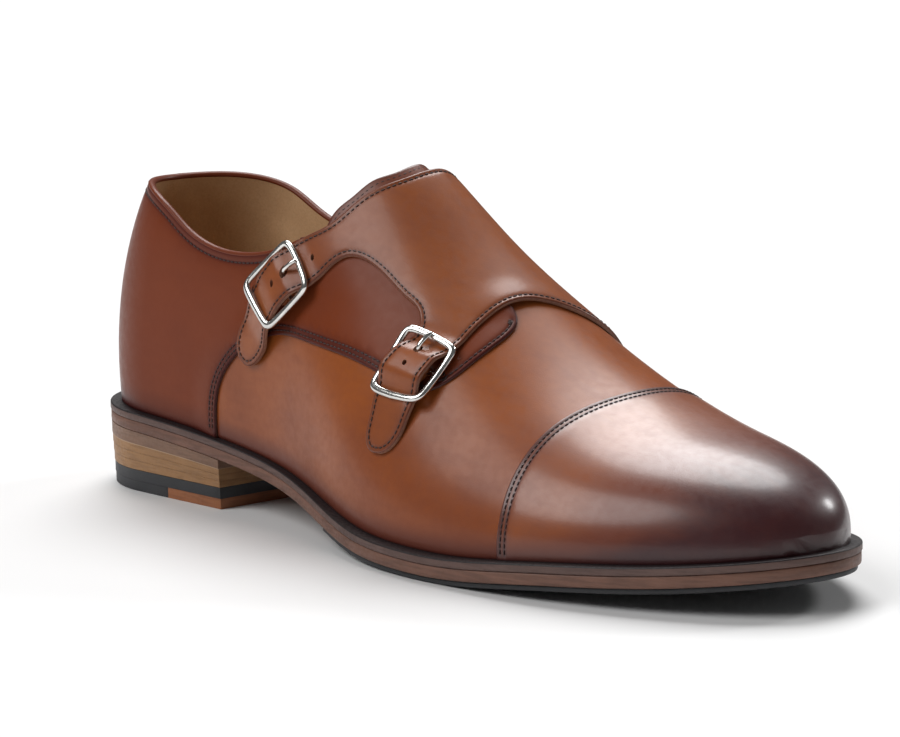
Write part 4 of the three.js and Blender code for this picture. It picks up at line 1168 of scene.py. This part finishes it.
def polished_metal():
    material, tree, shader = new_material("polished_silver_metal")
    place = add_node(tree, "ShaderNodeTexCoord").outputs["Object"]
    cloud = noise(tree, place, 260.0, 3.0)
    scratch = noise(tree, place, 2600.0, 3.0)
    colour = blend_colour(tree, spread(tree, cloud, 0.3, 0.7), (0.80, 0.79, 0.76, 1), (0.66, 0.65, 0.63, 1))
    tree.links.new(colour, shader.inputs["Base Color"])
    tree.links.new(spread(tree, scratch, 0.3, 0.75, 0.12, 0.24), shader.inputs["Roughness"])
    bump = add_node(tree, "ShaderNodeBump", {"Height": scratch, "Strength": 0.06, "Distance": 0.0001})
    tree.links.new(bump.outputs[0], shader.inputs["Normal"])
    shader.inputs["Metallic"].default_value = 1.0
    return material


SILVER = polished_metal()


def wire(place, path, wide, deep, steps, closed, tip=0.0):
    """A wire along a path drawn round a buckle; tip rounds off its two ends."""
    bm = bmesh.new()
    bmesh.ops.create_grid(bm, x_segments=steps, y_segments=WIRE_SIDES, size=0.5)

    def move(flat):
        t = flat[:, 0] + 0.5
        turn = 2 * np.pi * (flat[:, 1] + 0.5)
        here, ahead, behind = path(t), path(t + 1e-3), path(t - 1e-3)
        run = ahead - behind
        run /= np.linalg.norm(run, axis=1, keepdims=True)
        side = np.cross([0.0, 0, 1], run)
        side /= np.linalg.norm(side, axis=1, keepdims=True)
        up = np.cross(run, side)
        close = np.minimum(t, 1 - t) / tip if tip else np.ones(len(t))
        thin = np.sqrt(np.clip(1 - (1 - np.clip(close, 0, 1))**2, 0, 1))
        point = here + side * (wide * thin * np.cos(turn))[:, None]
        point += up * (deep * thin * np.sin(turn))[:, None]
        return to_frame(near(place, point[:, 0], point[:, 1], point[:, 2]))
    place_vertices(bm, move)
    bmesh.ops.remove_doubles(bm, verts=bm.verts, dist=1e-6)
    if not closed:
        bmesh.ops.holes_fill(bm, edges=bm.edges, sides=0)
    bmesh.ops.recalc_face_normals(bm, faces=bm.faces)
    return bm


def frame_path(place):
    def path(t):
        along, across = (np.sign(wave) * np.abs(wave)**(2 / FRAME_SQUARE)
                         for wave in (np.cos(2 * np.pi * t), np.sin(2 * np.pi * t)))
        half = mix(FRAME_REAR, FRAME_FRONT, (along + 1) / 2)
        bow = END_BOW * (1 - across**2) * along
        return np.stack([along * FRAME_LENGTH + bow, across * half,
                         place["lift"] + FRAME_BOW * along**2 - place["tilt"] * along], -1)
    return path


def bar_path(place):
    def path(t):
        half = mix(FRAME_REAR, FRAME_FRONT, 0.5)
        across = mix(-half, half, t)
        return np.stack([0 * t, across, mix(BAR_LIFT, place["lift"], np.abs(across / half)**8)], -1)
    return path


def prong_path(place):
    front = place["lift"] + FRAME_BOW - place["tilt"] + FRAME_DEEP + PRONG_RADIUS

    def path(t):
        stations = [0, 0.3, 0.6, 0.85, 1]
        along = batten(stations, [0.4, 3.2, 5.6, FRAME_LENGTH, FRAME_LENGTH + 1.3])(t)
        lift = batten(stations, [BAR_LIFT + 0.6, 3.5, front + 0.3, front + 0.05, front - 0.5])(t)
        return np.stack([along, 0 * t, lift], -1)
    return path


def tab_mesh(place):
    bm = bmesh.new()
    bmesh.ops.create_grid(bm, x_segments=14, y_segments=14, size=0.5)
    up = bmesh.ops.extrude_face_region(bm, geom=bm.faces[:])
    for item in up["geom"]:
        if isinstance(item, bmesh.types.BMVert):
            item.co.z = 1

    def move(flat):
        along = mix(TAB_REAR, TAB_FRONT, flat[:, 0] + 0.5)
        narrow = mix(TAB_NARROW, 1.0, flat[:, 0] + 0.5)
        swell = TAB_SWELL * ease(1 - np.abs(along) / TAB_SWELL_REACH)
        under = outer_under(pattern(drawn(place, along, 0 * along))) + QUARTER_THICK + 0.05
        across = 2 * TAB_HALF * flat[:, 1] * narrow
        return to_frame(near(place, along, across, under + (TAB_THICK + swell) * flat[:, 2]))
    place_vertices(bm, move)
    bmesh.ops.recalc_face_normals(bm, faces=bm.faces)
    rim = [edge for edge in bm.edges if edge.calc_face_angle(0) > 0.9]
    break_edge(bm, rim, 0.3)
    return bm


for place in PLACES:
    side = place["name"]
    frame_wire = wire(place, frame_path(place), FRAME_WIDE, FRAME_DEEP, FRAME_STEPS, True)
    bar_wire = wire(place, bar_path(place), BAR_RADIUS, BAR_RADIUS, BAR_STEPS, False)
    prong_wire = wire(place, prong_path(place), PRONG_RADIUS, PRONG_RADIUS, PRONG_STEPS, False, PRONG_TIP)
    buckle = finish_mesh(f"{side}_buckle", frame_wire, [SILVER], METAL_SHARP)
    bar = finish_mesh(f"{side}_buckle_bar", bar_wire, [SILVER], METAL_SHARP)
    prong = finish_mesh(f"{side}_prong", prong_wire, [SILVER], METAL_SHARP)
    tab = finish_mesh(f"{side}_tab", tab_mesh(place), [STRAP_CALF], 60)
    for piece, node in ((buckle, "frame"), (bar, "frame"), (prong, "prong")):
        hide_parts(f"{side}_buckle_{node}")
    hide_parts(f"{side}_buckle_tab")

# ---------------------------------------------------------------- the studio
# The shoe stands on a plain pale floor in soft daylight from large panels.
floor_mesh = bpy.data.meshes.new("studio_floor")
floor_bm = bmesh.new()
bmesh.ops.create_grid(floor_bm, x_segments=1, y_segments=1, size=6.0)
floor_bm.to_mesh(floor_mesh)
floor_bm.free()
floor = bpy.data.objects.new("studio_floor", floor_mesh)
bpy.context.scene.collection.objects.link(floor)
floor_paint, _, floor_shader = new_material("pale_floor")
floor_shader.inputs["Base Color"].default_value = (0.78, 0.78, 0.78, 1)
floor_shader.inputs["Roughness"].default_value = 0.6
floor_mesh.materials.append(floor_paint)

world = bpy.data.worlds.new("studio")
world.use_nodes = True
sky_tree = world.node_tree
seen = add_node(sky_tree, "ShaderNodeLightPath").outputs["Is Camera Ray"]
brightness = add_node(sky_tree, "ShaderNodeMath", {0: seen, 1: 0.9, 2: 0.1}, operation="MULTIPLY_ADD")
sky_tree.links.new(brightness.outputs[0], sky_tree.nodes["Background"].inputs[1])
sky_tree.nodes["Background"].inputs[0].default_value = (1, 1, 1, 1)
bpy.context.scene.world = world


def soft_light(name, heading, height, width, strength):
    """A far panel seen from the shoe in a compass heading, at a height and with a width in degrees."""
    light = bpy.data.lights.new(name, "SUN")
    light.angle = math.radians(width)
    light.energy = strength
    lamp = bpy.data.objects.new(name, light)
    turn, rise = math.radians(heading), math.radians(height)
    away = Vector((math.cos(turn) * math.cos(rise), math.sin(turn) * math.cos(rise), math.sin(rise)))
    lamp.location = away
    lamp.rotation_euler = (-away).to_track_quat("-Z", "Y").to_euler()
    bpy.context.scene.collection.objects.link(lamp)


soft_light("window_behind", 135, 56, 38, 2.8)
soft_light("panel_left", -112, 44, 40, 1.75)
soft_light("lamp_right", 80, 30, 11, 0.7)

CAMERA_AT = (763, -722, 225)
CAMERA_AIM = (0, 0, 51)
camera_data = bpy.data.cameras.new("camera")
camera_data.lens = 140
camera_data.sensor_width = 36
camera_data.clip_start = 0.01
camera = bpy.data.objects.new("camera", camera_data)
camera.location = Vector(CAMERA_AT) * MM
camera.rotation_euler = ((Vector(CAMERA_AIM) - Vector(CAMERA_AT)).to_track_quat("-Z", "Y")).to_euler()
bpy.context.scene.collection.objects.link(camera)
bpy.context.scene.camera = camera
bpy.context.scene.view_settings.view_transform = "Standard"
